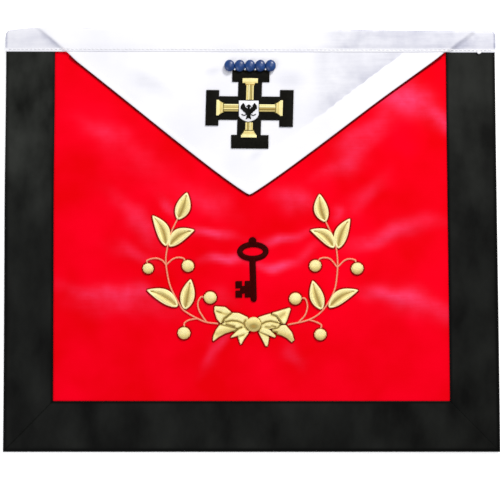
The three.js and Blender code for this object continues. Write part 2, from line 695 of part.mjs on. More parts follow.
const cordLines = STEMS.map((stem) => {
  const side = stem.name.replace('stem', 'berry');
  const stalks = BERRIES.filter((berry) => berry.name.startsWith(side)).map(stalkLine);
  return { name: stem.name, lines: [lineOf(stem.line.map(inWreath)), ...stalks] };
});
for (const { name, lines } of cordLines) {
  lay(name, joined(lines.map(cord)), onPanel, STEM_GOLD, 0.5, 0.4);
}
const cordRooms = cordLines.flatMap(({ lines }) => lines.map(cordRoom));

// Padded leaf: sections across it from base to tip, with a groove along its middle
function leaf({ tip, base, width, curve }) {
  const [from, to] = [inWreath(base), inWreath(tip)];
  const forward = to.clone().sub(from);
  const aside = new THREE.Vector2(-forward.y, forward.x);
  const sections = 8;
  return loft(Array.from({ length: sections + 1 }, (_, i) => {
    const share = THREE.MathUtils.lerp(0.02, 0.98, i / sections);
    const bulge = Math.sin(Math.PI * share ** 0.82) ** 0.85;
    const middle = from.clone()
      .addScaledVector(forward, share)
      .addScaledVector(aside, curve * Math.sin(Math.PI * share) * 2);
    const half = width / 2 * bulge;
    const height = LEAF_RISE * (0.4 + 0.6 * bulge);
    const point = (across, up) => {
      const place = middle.clone().addScaledVector(aside, across * half);
      return [place.x, place.y, up * height];
    };
    return [point(-1, 0), point(1, 0), ...LEAF_SECTION.map(({ across, up }) => point(across, up))];
  }));
}
for (const row of LEAVES) {
  lay(row.name, cutBy(leaf(row), cordRooms), onPanel, GOLD, 0.4, 0.6);
}

// Padded berry: a low dome
function berry({ at, size }) {
  const centre = inWreath(at);
  const sides = 10;
  return loft(BERRY_PROFILE.map(({ out, up }) => Array.from({ length: sides }, (_, i) => {
    const turn = 2 * Math.PI * i / sides;
    const radius = out * size * BERRY_DIAMETER / 2;
    return [
      centre.x + radius * Math.cos(turn), centre.y + radius * Math.sin(turn), up * BERRY_RISE,
    ];
  })));
}
BERRIES.forEach((row) => lay(row.name, berry(row), onPanel, GOLD, 0.4, 0.6));

// Bow: the knot first, then each piece cut short of the ones that lie over it
const knotCentre = inWreath(BOW_CENTRE).toArray();
const knotOutline = Array.from({ length: 8 }, (_, i) => [
  knotCentre[0] + KNOT_DIAMETER / 2 * Math.cos(Math.PI * i / 4),
  knotCentre[1] + KNOT_DIAMETER / 2 * Math.sin(Math.PI * i / 4),
]);
lay('bow_knot', pad(knotOutline, KNOT_RISE), onPanel, GOLD, 0.4, 0.6);

const taken = [roomOf(knotOutline), ...cordRooms];
for (const { name, outline } of BOW_PIECES) {
  const scaled = outline.map(([x, y]) => [x * BOW_WIDTH / 2, y * BOW_WIDTH / 2]);
  const placed = move(scaled, knotCentre);
  lay(name, cutBy(pad(placed, BOW_RISE), taken), onPanel, GOLD, 0.4, 0.6);
  taken.push(roomOf(placed));
}

// Key: ring, knob, shank and bit in one piece, hanging from the middle of its ring
function key() {
  const [rx, ry] = [KEY_RING_WIDTH / 2, KEY_RING_HEIGHT / 2];
  const ring = new THREE.Shape().absellipse(0, 0, rx, ry, 0, 2 * Math.PI);
  const hole = new THREE.Path().absellipse(0, 0, rx - KEY_RING_WALL, ry - KEY_RING_WALL, 0,
    2 * Math.PI);
  ring.holes.push(hole);
  const knob = new THREE.Shape().absarc(0, ry + KEY_KNOB * 0.1, KEY_KNOB / 2, 0, 2 * Math.PI);
  const end = KEY_LENGTH - ry - KEY_KNOB * 0.6;
  const half = KEY_SHANK / 2;
  const shank = new THREE.Shape();
  shank.moveTo(half, -ry + KEY_RING_WALL / 2);
  shank.lineTo(-half, -ry + KEY_RING_WALL / 2);
  shank.lineTo(-half, half - end);
  shank.absarc(0, half - end, half, Math.PI, 2 * Math.PI);
  const foot = KEY_BIT_FROM_END - end;
  const [head, out] = [foot + KEY_BIT_HEIGHT, KEY_BIT_WIDTH];
  const bit = shapeOf([[0, foot], [0, head], [-half - out, head], [-half - out, foot]]);
  const notch = (x, y, wide, high) => solidOf(
    new THREE.BoxGeometry(wide, high, 4 * KEY_RISE).translate(x, y, 0),
  );
  const middle = -half - out * 0.52;
  const notches = [
    notch(middle, head, KEY_NOTCH, KEY_BIT_HEIGHT * 0.6),
    notch(middle, foot, KEY_NOTCH, KEY_BIT_HEIGHT * 0.5),
    notch(-half - out, foot + KEY_BIT_HEIGHT / 2, out * 0.6, KEY_NOTCH),
  ];
  const whole = joined([ring, knob, shank, bit].map((shape) => plate(shape, KEY_RISE, 8)));
  return cutBy(whole, notches).rotateZ(THREE.MathUtils.degToRad(KEY_TILT));
}
const KEY_PLACE = inWreath([0.002, 0.197]);
lay('key', key().translate(KEY_PLACE.x, KEY_PLACE.y, 0), onPanel, KEY_BLACK, 0.8);

// Centres the apron over the origin.
const box = new THREE.Box3().setFromObject(apron);
const centre = box.getCenter(new THREE.Vector3());
apron.position.set(-centre.x, -centre.y, -box.min.z);

export default apron;
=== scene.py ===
"""The looks of a ceremonial apron: satin, ribbon, gold embroidery, beads, floor, light and camera.

Sizes are those of the part's source, in millimetres, and turn into metres where a mesh is laid in
its place.
"""

import logging
import math
from dataclasses import dataclass, field
from enum import Enum
from typing import Callable

import bpy
import numpy as np
from mathutils import Matrix, Vector


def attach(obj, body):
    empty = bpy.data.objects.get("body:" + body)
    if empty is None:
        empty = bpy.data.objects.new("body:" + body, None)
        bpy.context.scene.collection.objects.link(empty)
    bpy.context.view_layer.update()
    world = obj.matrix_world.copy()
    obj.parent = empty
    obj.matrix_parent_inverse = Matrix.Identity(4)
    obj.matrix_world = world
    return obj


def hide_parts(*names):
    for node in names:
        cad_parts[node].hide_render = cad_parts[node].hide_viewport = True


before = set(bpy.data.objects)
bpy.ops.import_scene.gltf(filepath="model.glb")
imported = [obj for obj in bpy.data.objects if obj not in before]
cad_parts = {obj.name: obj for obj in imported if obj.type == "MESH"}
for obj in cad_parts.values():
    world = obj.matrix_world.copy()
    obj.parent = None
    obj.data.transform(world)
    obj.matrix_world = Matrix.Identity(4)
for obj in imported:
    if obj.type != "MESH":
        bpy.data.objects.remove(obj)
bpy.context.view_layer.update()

LOG = logging.getLogger("apron")
Array = np.ndarray
Level = Callable[[Array, Array], Array]


class Hold(Enum):
    """How a sheet of cloth is held."""

    LAID = "laid"
    FOLDED = "folded"


class Side(Enum):
    """A side of the apron, with its sign along x."""

    LEFT = -1
    RIGHT = 1


class Slot(Enum):
    """The record's material slots."""

    RED_SATIN = "red_satin"
    BLACK_RIBBON = "black_ribbon"
    WHITE_SATIN = "white_satin"
    WHITE_THREAD = "white_thread"
    BLACK_THREAD = "black_thread"
    GOLD_THREAD = "gold_thread"
    STEM_CORD = "stem_cord"
    BLUE_GLASS = "blue_glass"
    SILVER_GLASS = "silver_glass"


def ease(start: float, end: float, at: Array) -> Array:
    """Rises smoothly from 0 at the first place to 1 at the second.

    Args:
        start: Where it is still 0.
        end: Where it has reached 1.
        at: The places asked for.

    Returns:
        The share at each place.
    """
    share = np.clip((np.asarray(at, float) - start) / (end - start), 0, 1)
    return share * share * (3 - 2 * share)


# How the cloth lies


@dataclass(frozen=True)
class Fold:
    """A soft fold of the cloth: its middle, heading in degrees, half sizes, height and painted light.
    """

    across: float
    up: float
    heading: float
    long: float
    wide: float
    high: float
    painted_light: float = 0.0

    def share(self, x: Array, y: Array) -> Array:
        """How much of the fold's height a place has.

        Args:
            x: Places along the apron's width, in mm.
            y: Places along its height, in mm.

        Returns:
            Shares from 0 to 1.
        """
        return np.maximum(0, 1 - self.away(x, y)) ** 3

    def glow(self, x: Array, y: Array) -> Array:
        """How much of the fold's painted light a place has, fading softly outward."""
        return np.exp(-2.6 * self.away(x, y))

    def away(self, x: Array, y: Array) -> Array:
        """How far a place is from the fold's middle, in squared half sizes."""
        turn = math.radians(self.heading)
        dx = x - self.across
        dy = y - self.up
        along = (dx * math.cos(turn) + dy * math.sin(turn)) / self.long
        aside = (dy * math.cos(turn) - dx * math.sin(turn)) / self.wide
        return along**2 + aside**2


# The source's four swells, then the smaller folds that pull from one ornament to the next.
# The last number is a painted highlight on the red satin along the fold; the swells have none.
FOLDS = (
    Fold(-122, -37.8, 82, 68, 36, 0.96),
    Fold(118, -46.4, -78, 60, 32, 0.96),
    Fold(-100, 103.2, -37, 64, 34, 0.72),
    Fold(104, 103.2, 36, 60, 34, 0.8),
    Fold(131, 113, -20, 34, 17, 0.7, 0.75),
    Fold(156, 98, -38, 16, 12, 0.4, 0.5),
    Fold(94, 84, 47, 50, 15, 0.6, 0.4),
    Fold(36, 33, -20, 26, 13, 0.4, 0.42),
    Fold(74, 60, 30, 26, 9, 0.3, 0.22),
    Fold(95, 36, 50, 30, 9, 0.4, 0.2),
    Fold(118, 6, 14, 50, 9, 0.6, 0.42),
    Fold(101, -2, 24, 20, 6, 0.3, 0.25),
    Fold(112, -46, -14, 34, 8, 0.7, 0.5),
    Fold(136, -54, -16, 40, 15, 0.6, 0.35),
    Fold(-34, 4, -12, 30, 5, 0.4, 0.6),
    Fold(-21, -18, -3, 20, 5, 0.5, 1.0),
    Fold(18, -21, 0, 20, 5, 0.5, 1.0),
    Fold(30, 1, 6, 30, 5, 0.4, 0.55),
    Fold(46, -13, 30, 20, 6, 0.3, 0.25),
    Fold(-66, 29, -45, 12, 7, 0.3, 0.42),
    Fold(70, 20, 45, 10, 7, 0.3, 0.4),
    Fold(-98, 70, -42, 62, 20, 0.5, 0.1),
    Fold(-122, 90, -20, 30, 12, 0.3, 0.18),
    Fold(-92, 14, -46, 40, 11, 0.5, 0.3),
    Fold(-108, -44, -5, 52, 9, 0.7, 0.42),
    Fold(-100, -54, -4, 60, 14, 0.4, 0.2),
    Fold(-94, -14, -24, 28, 9, 0.4, 0.22),
    Fold(-34, 30, -30, 34, 12, 0.4, 0.22),
    Fold(-26, -50, -10, 16, 12, 0.3, 0.15),
    Fold(-33, -96, 60, 18, 7, 0.3, 0.2),
    Fold(37, -96, -52, 18, 7, 0.3, 0.2),
    Fold(-21, -84, 50, 14, 6, 0.2, 0.3),
)


@dataclass(frozen=True)
class Layers:
    """The heap of cloths: their edges, the heights of their faces, and how all of it lies.

    Spread is how much wider the left and the right lie, and how much lower the foot. Band shift is
    how much higher the waistband lies, how far that tilts, and how much more its top edge rises.
    The pairs after them say where each begins and where it is full. The hem's numbers are its
    middle, half width and height.
    """

    half_width: float = 200
    half_height: float = 172
    gap: float = 0.3
    lean: float = 1.2
    middle: tuple[float, float] = (-0.0005, -0.6045)
    panel_bottom: float = 1.3
    panel_top: float = 2.9
    ribbon_wall: float = 1.0
    ribbon_width: float = 40.5
    ribbon_top: float = 4.2
    band_wall: float = 1.0
    band_depth: float = 19
    band_return: float = 16
    band_tilt: float = 2.6
    corner_slant: tuple[float, float] = (22, 3.0)
    corner_round: float = 3.1
    flap_wall: float = 1.2
    flap_drop: float = 138.5
    flap_tip: tuple[float, float] = (-0.2, 35.6)
    flap_blunt: float = 0.7
    flap_sag: tuple[float, float] = (4.2, 3.4)
    sag_span: float = 18.5
    flap_reach: tuple[float, float] = (170.6, 181.6)
    flap_settle: float = 28
    tuck: float = 2.4
    seam_allowance: float = 19.5
    seam_puff: float = 0.35
    hem: tuple[float, float, float] = (1.7, 1.5, 0.3)
    puff_ends: tuple[float, float] = (147, 152)
    spread: tuple[float, float, float] = (1.2, 2.6, 1.3)
    sides_spread: tuple[float, float] = (95, 165)
    left_slackens: tuple[float, float] = (130, 20)
    foot_spreads: tuple[float, float] = (95, 170)
    band_shift: tuple[float, float, float] = (0.8, 0.45, 0.5)
    band_shifts: tuple[float, float] = (146, 153)
    edge_shifts: tuple[float, float] = (154, 171)

    def top_edge(self, x: Array) -> Array:
        """Height of the apron's top edge, which tilts and drops at both rounded corners."""
        from_end = np.clip(self.half_width - np.abs(x), 0, None)
        length, drop = self.corner_slant
        slant = drop * np.clip(1 - from_end / length, 0, 1) * (np.asarray(x) < 0)
        radius = self.corner_round
        short = np.clip(radius - from_end, 0, radius)
        corner = radius - np.sqrt(radius**2 - short**2)
        return self.half_height - self.band_tilt * x / (2 * self.half_width) - slant - corner

    def tucked_edge(self, x: Array) -> Array:
        """Top edge of the cloths that the waistband folds over."""
        return self.top_edge(x) - self.tuck

    def band_foot(self) -> float:
        """Height of the waistband's lower edge."""
        return self.half_height - self.band_depth

    def rise(self, y: Array) -> Array:
        """How the waistband's return lifts the cloth towards the top."""
        low = self.ribbon_width - self.half_height
        high = self.half_height - self.band_return
        return (self.band_wall + self.gap) * np.clip((y - low) / (high - low), 0, 1)

    def fold_height(self, x: Array, y: Array) -> Array:
        """Height of the soft folds at a place."""
        return sum(fold.high * fold.share(x, y) for fold in FOLDS)

    def painted_light(self, x: Array, y: Array) -> Array:
        """How much painted highlight the red satin has at a place, from 0 to 1, along the folds."""
        bent_x = x + 3 * np.sin(y / 8 + x / 23) + 1.5 * np.sin(y / 3.6 - x / 9)
        bent_y = y + 2.4 * np.sin(x / 12) + 1.3 * np.sin(x / 5.1 + y / 13)
        lit = sum(fold.painted_light * fold.glow(bent_x, bent_y) for fold in FOLDS)
        return np.clip(lit, 0, 1)

    def on_field(self, x: Array, y: Array) -> Array:
        """Face of the field, before the lie of the cloth is added."""
        return self.panel_top + 0 * x

    def flap_top(self, x: Array) -> Array:
        """Face of the flap, which settles from the ribbon onto the field."""
        inner = self.half_width - self.ribbon_width
        on_ribbon = ease(inner - self.flap_settle, inner - 2, np.abs(x))
        step = (self.ribbon_wall + self.gap) * on_ribbon
        return self.panel_top + self.gap + self.flap_wall + step

    def flap_slope(self, x: Array) -> Array:
        """Slope of the flap's slanting edge over a place."""
        left, right = (self.flap_drop / reach for reach in self.flap_reach)
        return np.where(x < self.flap_tip[0], left, right)

    def flap_edge(self, x: Array) -> Array:
        """Height of the flap's slanting edge over a place."""
        fall = np.hypot((x - self.flap_tip[0]) * self.flap_slope(x), self.flap_blunt)
        sag = np.where(x < self.flap_tip[0], *self.flap_sag)
        return self.flap_tip[1] + fall - sag * (1 - np.exp(-fall / self.sag_span))

    def inside_flap(self, x: Array, y: Array) -> Array:
        """How far a place lies inside the flap's slanting edge."""
        return (y - self.flap_edge(x)) / np.hypot(1, self.flap_slope(x))

    def allowance(self, x: Array, y: Array) -> Array:
        """How far a place lies inside the line where the flap's turned seam ends."""
        return self.inside_flap(x, y) - self.seam_allowance

    def flap_puff(self, x: Array, y: Array) -> Array:
        """How much thicker the flap is over its turned seam on the right and along its edges."""
        over = (1 - ease(-0.8, 0.8, self.allowance(x, y))) * (x > self.flap_tip[0])
        middle, wide, high = self.hem
        hem = np.exp(-(((self.inside_flap(x, y) - middle) / wide) ** 2))
        puff = self.seam_puff * over * ease(-0.8, 12, x) + high * hem
        return puff * (1 - ease(*self.puff_ends, y))

    def on_flap(self, x: Array, y: Array) -> Array:
        """Face of the flap with its turned seam, before the lie of the cloth is added."""
        return self.flap_top(x) + self.flap_puff(x, y)

    def band_top(self, x: Array, y: Array) -> Array:
        """Face of the waistband, which runs over the flap and down to the ribbon beside it."""
        out = -self.inside_flap(x, y) + 1.5 * (np.asarray(x) < 0)
        over = 1 - ease(0.3, 3.5, out)
        step = (self.flap_top(x) - self.ribbon_top) * over
        return self.ribbon_top + step + self.gap + self.band_wall + self.rise(y)

    def settle(self, points: Array, lifted: bool = True) -> Array:
        """Lays points of the flat pattern down as the apron lies.

        Args:
            points: Places in mm, their last axis being x, y and the height in the heap.
            lifted: Whether the waistband's return lifts them too.

        Returns:
            The places in metres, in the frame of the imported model.
        """
        x, y, z = points[..., 0], points[..., 1], points[..., 2]
        lean = self.lean * (1 - ease(-self.half_height, self.half_height, y) - 0.5)
        lift = self.rise(y) if lifted else 0
        left, right, down = self.spread
        slack = 0.5 + 0.5 * ease(*self.left_slackens, y)
        wider = right * ease(*self.sides_spread, x) - left * ease(*self.sides_spread, -x) * slack
        level, tilt, above = self.band_shift
        higher = (level - tilt * x / self.half_width) * ease(*self.band_shifts, y)
        higher = higher + above * ease(*self.edge_shifts, y)
        laid = [
            x + lean + wider + self.middle[0],
            y + higher - down * ease(*self.foot_spreads, -y) + self.middle[1],
            z + lift + self.fold_height(x, y),
        ]
        return np.stack(laid, axis=-1) / 1000


# Finishes


def linear(code: str) -> tuple[float, float, float, float]:
    """Turns an sRGB hex colour into the linear one that Blender reckons with.

    Args:
        code: Six hex digits after a hash sign.

    Returns:
        Red, green, blue and alpha.
    """
    parts = [int(code[i : i + 2], 16) / 255 for i in (1, 3, 5)]
    lit = [c / 12.92 if c <= 0.04045 else ((c + 0.055) / 1.055) ** 2.4 for c in parts]
    return (*lit, 1.0)


def add_node(
    tree: bpy.types.NodeTree, kind: str, settings: dict | None = None, sockets: dict | None = None
) -> bpy.types.Node:
    """Adds a shader node with its settings, values and links.

    Args:
        tree: The material's node tree.
        kind: The node's type, without its ShaderNode beginning.
        settings: Values of the node's own properties.
        sockets: A value or another node's output for each input, by name or number.

    Returns:
        The new node.
    """
    made = tree.nodes.new("ShaderNode" + kind)
    for name, value in (settings or {}).items():
        setattr(made, name, value)
    for key, value in (sockets or {}).items():
        if isinstance(value, bpy.types.NodeSocket):
            tree.links.new(value, made.inputs[key])
        else:
            made.inputs[key].default_value = value
    return made


def per_metre(millimetres: float) -> float:
    """Scale of a pattern on object coordinates whose features are this many mm apart."""
    return 1000 / millimetres


@dataclass(frozen=True)
class Finish:
    """What every finish has: a name, and a surface whose constants sit on its own sockets."""

    name: str = "finish"

    def material(self) -> bpy.types.Material:
        """The finish's material, made once and then kept."""
        known = bpy.data.materials.get(self.name)
        if known:
            return known
        made = bpy.data.materials.new(self.name)
        made.use_nodes = True
        tree = made.node_tree
        tree.nodes.clear()
        surface = add_node(tree, "BsdfPrincipled", sockets=self.dress(tree))
        add_node(tree, "OutputMaterial", sockets={"Surface": surface.outputs[0]})
        return made

    def dress(self, tree: bpy.types.NodeTree) -> dict:
        """Adds the finish's own nodes, and gives what goes into the surface's sockets."""
        raise NotImplementedError

    def pattern_place(
        self, tree: bpy.types.NodeTree, scale: tuple[float, float, float] = (1, 1, 1)
    ) -> bpy.types.NodeSocket:
        """Object coordinates, scaled apart along x, y and z."""
        place = add_node(tree, "TexCoord")
        sockets = {"Vector": place.outputs["Object"], "Scale": scale}
        return add_node(tree, "Mapping", sockets=sockets).outputs[0]

    def tone(self, tree: bpy.types.NodeTree) -> bpy.types.NodeSocket:
        """The piece's own tone from 0 to 1."""
        return add_node(tree, "Attribute", {"attribute_name": "tone"}).outputs["Fac"]

    def blend(
        self, tree: bpy.types.NodeTree, pattern: bpy.types.NodeSocket, span: tuple[float, float],
        first: str, second: str,
    ) -> bpy.types.NodeSocket:
        """A colour that turns into a second one where a pattern rises.

        Args:
            tree: The material's node tree.
            pattern: The pattern, from 0 to 1.
            span: Where the first colour ends and where the second is full.
            first: The first colour's hex code.
            second: The second colour's hex code.

        Returns:
            The colour.
        """
        sockets = {"Value": pattern, "From Min": span[0], "From Max": span[1]}
        share = add_node(tree, "MapRange", sockets=sockets).outputs[0]
        sockets = {0: share, 6: linear(first), 7: linear(second)}
        return add_node(tree, "Mix", {"data_type": "RGBA"}, sockets).outputs[2]


@dataclass(frozen=True)
class Satin(Finish):
    """Woven satin: long floats along x give a soft directional gloss, and a clouded colour."""

    ground: str = "#e8000b"
    cloud: str = "#f7001c"
    # The painted light: a painted highlight on the red satin, painted shade on the white.
    painted_light: str = "#f85c98"
    painted_light_share: float = 0.5
    rough: float = 0.42
    gloss: float = 0.3
    mirror: str = "#ff2038"
    sheen: float = 0.02
    float_mm: float = 1.6
    ripple_mm: float = 14
    cloud_mm: float = 55
    depth_mm: float = 0.05

    def dress(self, tree: bpy.types.NodeTree) -> dict:
        """Adds the clouds, the painted light and the floats."""
        place = self.pattern_place(tree)
        sockets = {"Vector": place, "Scale": per_metre(self.cloud_mm), "Detail": 3.0}
        clouds = add_node(tree, "TexNoise", sockets=sockets).outputs["Fac"]
        ground = self.blend(tree, clouds, (0.35, 0.65), self.ground, self.cloud)
        # Satin floats are about 0.1 mm apart. They are drawn 1.6 mm apart, so that they show.
        thread = self.pattern_place(tree, (0.08, 1, 1))
        sockets = {"Vector": thread, "Scale": per_metre(self.float_mm), "Detail": 2.0}
        floats = add_node(tree, "TexNoise", sockets=sockets).outputs["Fac"]
        sockets = {"Vector": place, "Scale": per_metre(self.ripple_mm), "Detail": 4.0}
        ripple = add_node(tree, "TexNoise", sockets=sockets).outputs["Fac"]
        patchy = add_node(tree, "Mix", sockets={0: 0.22, 2: ripple, 3: floats}).outputs[0]
        sockets = {
            "Value": patchy, "From Min": 0.3, "From Max": 0.7, "To Min": self.painted_light_share * 0.5,
            "To Max": self.painted_light_share * 1.5,
        }
        share = add_node(tree, "MapRange", sockets=sockets).outputs[0]
        # Painted light: the tone attribute, broken up by the floats and ripples, mixes its colour in.
        sockets = {0: share, 1: self.tone(tree)}
        lit = add_node(tree, "Math", {"operation": "MULTIPLY"}, sockets).outputs[0]
        sockets = {0: lit, 6: ground, 7: linear(self.painted_light)}
        mixed = add_node(tree, "Mix", {"data_type": "RGBA"}, sockets).outputs[2]
        sockets = {"Value": floats, "To Min": self.rough - 0.06, "To Max": self.rough + 0.06}
        rough = add_node(tree, "MapRange", sockets=sockets).outputs[0]
        sockets = {"Height": floats, "Distance": self.depth_mm / 1000, "Strength": 0.6}
        bump = add_node(tree, "Bump", sockets=sockets).outputs[0]
        return {
            "Base Color": mixed, "Roughness": rough, "Normal": bump, "Specular IOR Level": self.gloss,
            "Specular Tint": linear(self.mirror), "Sheen Weight": self.sheen, "Sheen Roughness": 0.4,
            "Sheen Tint": linear(self.mirror), "Anisotropic": 0.5,
        }


@dataclass(frozen=True)
class RibbonWeave(Finish):
    """Dull black ribbon: a fine cross rib, worn a little grey in clouds."""

    ground: str = "#10110f"
    worn: str = "#323431"
    shade: str = "#020202"
    rib_mm: float = 1.4
    cloud_mm: float = 28

    def dress(self, tree: bpy.types.NodeTree) -> dict:
        """Adds the clouds and the rib."""
        place = self.pattern_place(tree, (1, 0.55, 1))
        sockets = {"Vector": place, "Scale": per_metre(self.cloud_mm), "Detail": 5.0}
        clouds = add_node(tree, "TexNoise", sockets=sockets).outputs["Fac"]
        ground = self.blend(tree, clouds, (0.32, 0.66), self.ground, self.worn)
        # Painted shade: the tone attribute darkens the ribbon towards near black.
        sockets = {0: self.tone(tree), 6: ground, 7: linear(self.shade)}
        shaded = add_node(tree, "Mix", {"data_type": "RGBA"}, sockets).outputs[2]
        # A real rib is about 0.3 mm wide. It is drawn 1.4 mm wide, so that it shows. The ribbon's
        # own length runs along its first UV axis, so the ribs stand across it on every side.
        own = add_node(tree, "UVMap", {"uv_map": "UVMap"}).outputs[0]
        sockets = {"Vector": own, "Scale": per_metre(20 * self.rib_mm), "Distortion": 0.8}
        rib = add_node(tree, "TexWave", {"bands_direction": "X"}, sockets).outputs["Fac"]
        sockets = {"Height": rib, "Distance": 0.00006, "Strength": 0.5}
        bump = add_node(tree, "Bump", sockets=sockets).outputs[0]
        return {
            "Base Color": shaded, "Normal": bump, "Roughness": 0.55, "Specular IOR Level": 0.06,
            "Sheen Weight": 0.02, "Sheen Roughness": 0.5,
        }


@dataclass(frozen=True)
class GoldWire(Finish):
    """Gilt bullion wire with painted light: pale where it turns up, olive and ochre shade in grooves.
    """

    deep: str = "#3c3008"
    groove: str = "#6e6420"
    ochre: str = "#bf9544"
    olive: str = "#ae9c54"
    body: str = "#dcc87e"
    bright: str = "#f6e498"
    pale: str = "#fff6ba"
    rough: float = 0.4
    metal: float = 0.14

    def dress(self, tree: bpy.types.NodeTree) -> dict:
        """Adds the painted light and shade along the wire, and the slight unevenness of the gilding."""
        ramp = add_node(tree, "ValToRGB", sockets={"Fac": self.tone(tree)})
        stops = ramp.color_ramp.elements
        stops[0].color, stops[1].color = linear(self.deep), linear(self.pale)
        # Deep to olive: painted shade; body: the wire's colour; bright and pale: partly painted
        # highlight.
        between = {0.12: self.groove, 0.3: self.ochre, 0.42: self.olive, 0.6: self.body,
                   0.8: self.bright}
        for place, colour in between.items():
            stops.new(place).color = linear(colour)
        sockets = {"Vector": self.pattern_place(tree), "Scale": per_metre(2.5), "Detail": 2.0}
        grain = add_node(tree, "TexNoise", sockets=sockets).outputs["Fac"]
        sockets = {"Value": grain, "To Min": 0.9, "To Max": 1.1}
        uneven = add_node(tree, "MapRange", sockets=sockets).outputs[0]
        sockets = {0: ramp.outputs[0], 3: uneven}
        tinted = add_node(tree, "VectorMath", {"operation": "SCALE"}, sockets).outputs[0]
        sockets = {"Value": grain, "To Min": self.rough - 0.08, "To Max": self.rough + 0.1}
        rough = add_node(tree, "MapRange", sockets=sockets).outputs[0]
        return {"Base Color": tinted, "Roughness": rough, "Metallic": self.metal}


@dataclass(frozen=True)
class Thread(Finish):
    """Stranded embroidery thread: fine, slightly shiny, darker down between the stitches."""

    ground: str = "#12110d"
    lit: str = "#222019"
    rough: float = 0.5
    gloss: float = 0.12
    sheen: float = 0.02
    metal: float = 0.0

    def dress(self, tree: bpy.types.NodeTree) -> dict:
        """Adds the uneven dye and the strands."""
        sockets = {"Vector": self.pattern_place(tree), "Scale": per_metre(1.2), "Detail": 3.0}
        strands = add_node(tree, "TexNoise", sockets=sockets).outputs["Fac"]
        dyed = self.blend(tree, strands, (0.3, 0.75), self.ground, self.lit)
        sockets = {"Height": strands, "Distance": 0.00008, "Strength": 0.5}
        bump = add_node(tree, "Bump", sockets=sockets).outputs[0]
        return {
            "Base Color": dyed, "Normal": bump, "Roughness": self.rough, "Metallic": self.metal,
            "Specular IOR Level": self.gloss, "Sheen Weight": self.sheen, "Sheen Roughness": 0.4,
        }


@dataclass(frozen=True)
class PressedGlass(Finish):
    """Pressed bead glass: deep colour under a clear polished skin."""

    deep: str = "#041c50"
    lit: str = "#154a8e"
    metal: float = 0.0

    def dress(self, tree: bpy.types.NodeTree) -> dict:
        """Adds the streaky colour under the polish."""
        sockets = {"Vector": self.pattern_place(tree), "Scale": per_metre(4), "Detail": 2.0}
        streaks = add_node(tree, "TexNoise", sockets=sockets).outputs["Fac"]
        return {
            "Base Color": self.blend(tree, streaks, (0, 1), self.deep, self.lit), "Roughness": 0.36,
            "Metallic": self.metal, "IOR": 1.52, "Coat Weight": 0.12, "Coat Roughness": 0.2,
        }


@dataclass(frozen=True)
class Paper(Finish):
    """White backdrop paper lit softly from below: matt, with a barely visible tooth."""

    ground: str = "#fefefe"
    glow: float = 0.42

    def dress(self, tree: bpy.types.NodeTree) -> dict:
        """Adds the tooth."""
        sockets = {"Vector": self.pattern_place(tree), "Scale": per_metre(2)}
        tooth = add_node(tree, "TexNoise", sockets=sockets).outputs["Fac"]
        bump = add_node(tree, "Bump", sockets={"Height": tooth, "Distance": 0.00003}).outputs[0]
        return {
            "Base Color": linear(self.ground), "Normal": bump, "Roughness": 0.8,
            "Emission Color": linear(self.ground), "Emission Strength": self.glow,
        }


RED_SATIN = Satin("red_satin_weave")
# Its painted light is a lavender grey: painted shade on the white satin.
WHITE_SATIN = Satin(
    "white_satin_weave", ground="#ececf4", cloud="#f6f6fb", painted_light="#9a9cb4", painted_light_share=0.75,
    rough=0.45, mirror="#ffffff",
)
BLACK_RIBBON = RibbonWeave("black_ribbon_weave")
GOLD_WIRE = GoldWire("gilt_bullion_wire")
STEM_WIRE = Thread(
    "copper_gilt_cord", ground="#f08c6a", lit="#ffb492", rough=0.4, gloss=0.5, metal=0.15
)
# A dark red thread under the flap's slanting edges, standing in for their shadow: painted shadow.
FLAP_SHADOW_THREAD = Thread("flap_shadow_line_thread", ground="#640306", lit="#880709", gloss=0.03)
# A dark red thread round each padded piece, standing in for its shadow: painted shadow.
SHADOW_RIM_THREAD = Thread("dark_red_rim_shadows_thread", ground="#880704", lit="#a81008", gloss=0.02)
BLACK_THREAD = Thread("black_embroidery_thread", ground="#0c0b08", lit="#191812", gloss=0.08)
KEY_THREAD = Thread("key_embroidery_thread", ground="#300000", lit="#440201", gloss=0.04)
WHITE_THREAD = Thread("white_embroidery_thread", ground="#e9e9f0", lit="#fbfbfd", sheen=0.1)
BLUE_GLASS = PressedGlass("blue_bead_glass")
SILVER_GLASS = PressedGlass("silver_bead_glass", deep="#aeb4bd", lit="#f2f5fa", metal=0.7)
WHITE_PAPER = Paper("backdrop_paper")


# Meshes


@dataclass
class Shape:
    """Corners in metres, faces, and a tone and a place on the cloth for each corner."""

    corners: Array
    faces: Array
    tones: Array
    flat: Array

    def outward(self) -> "Shape":
        """The same closed shape with its faces turned outward."""
        a, b, c = (self.corners[self.faces[:, i]] for i in (0, 1, 2))
        d = self.corners[self.faces[:, 3]]
        volume = np.einsum("ij,ij->", a, np.cross(b, c)) + np.einsum("ij,ij->", a, np.cross(c, d))
        if volume < 0:
            self.faces = self.faces[:, ::-1]
        return self


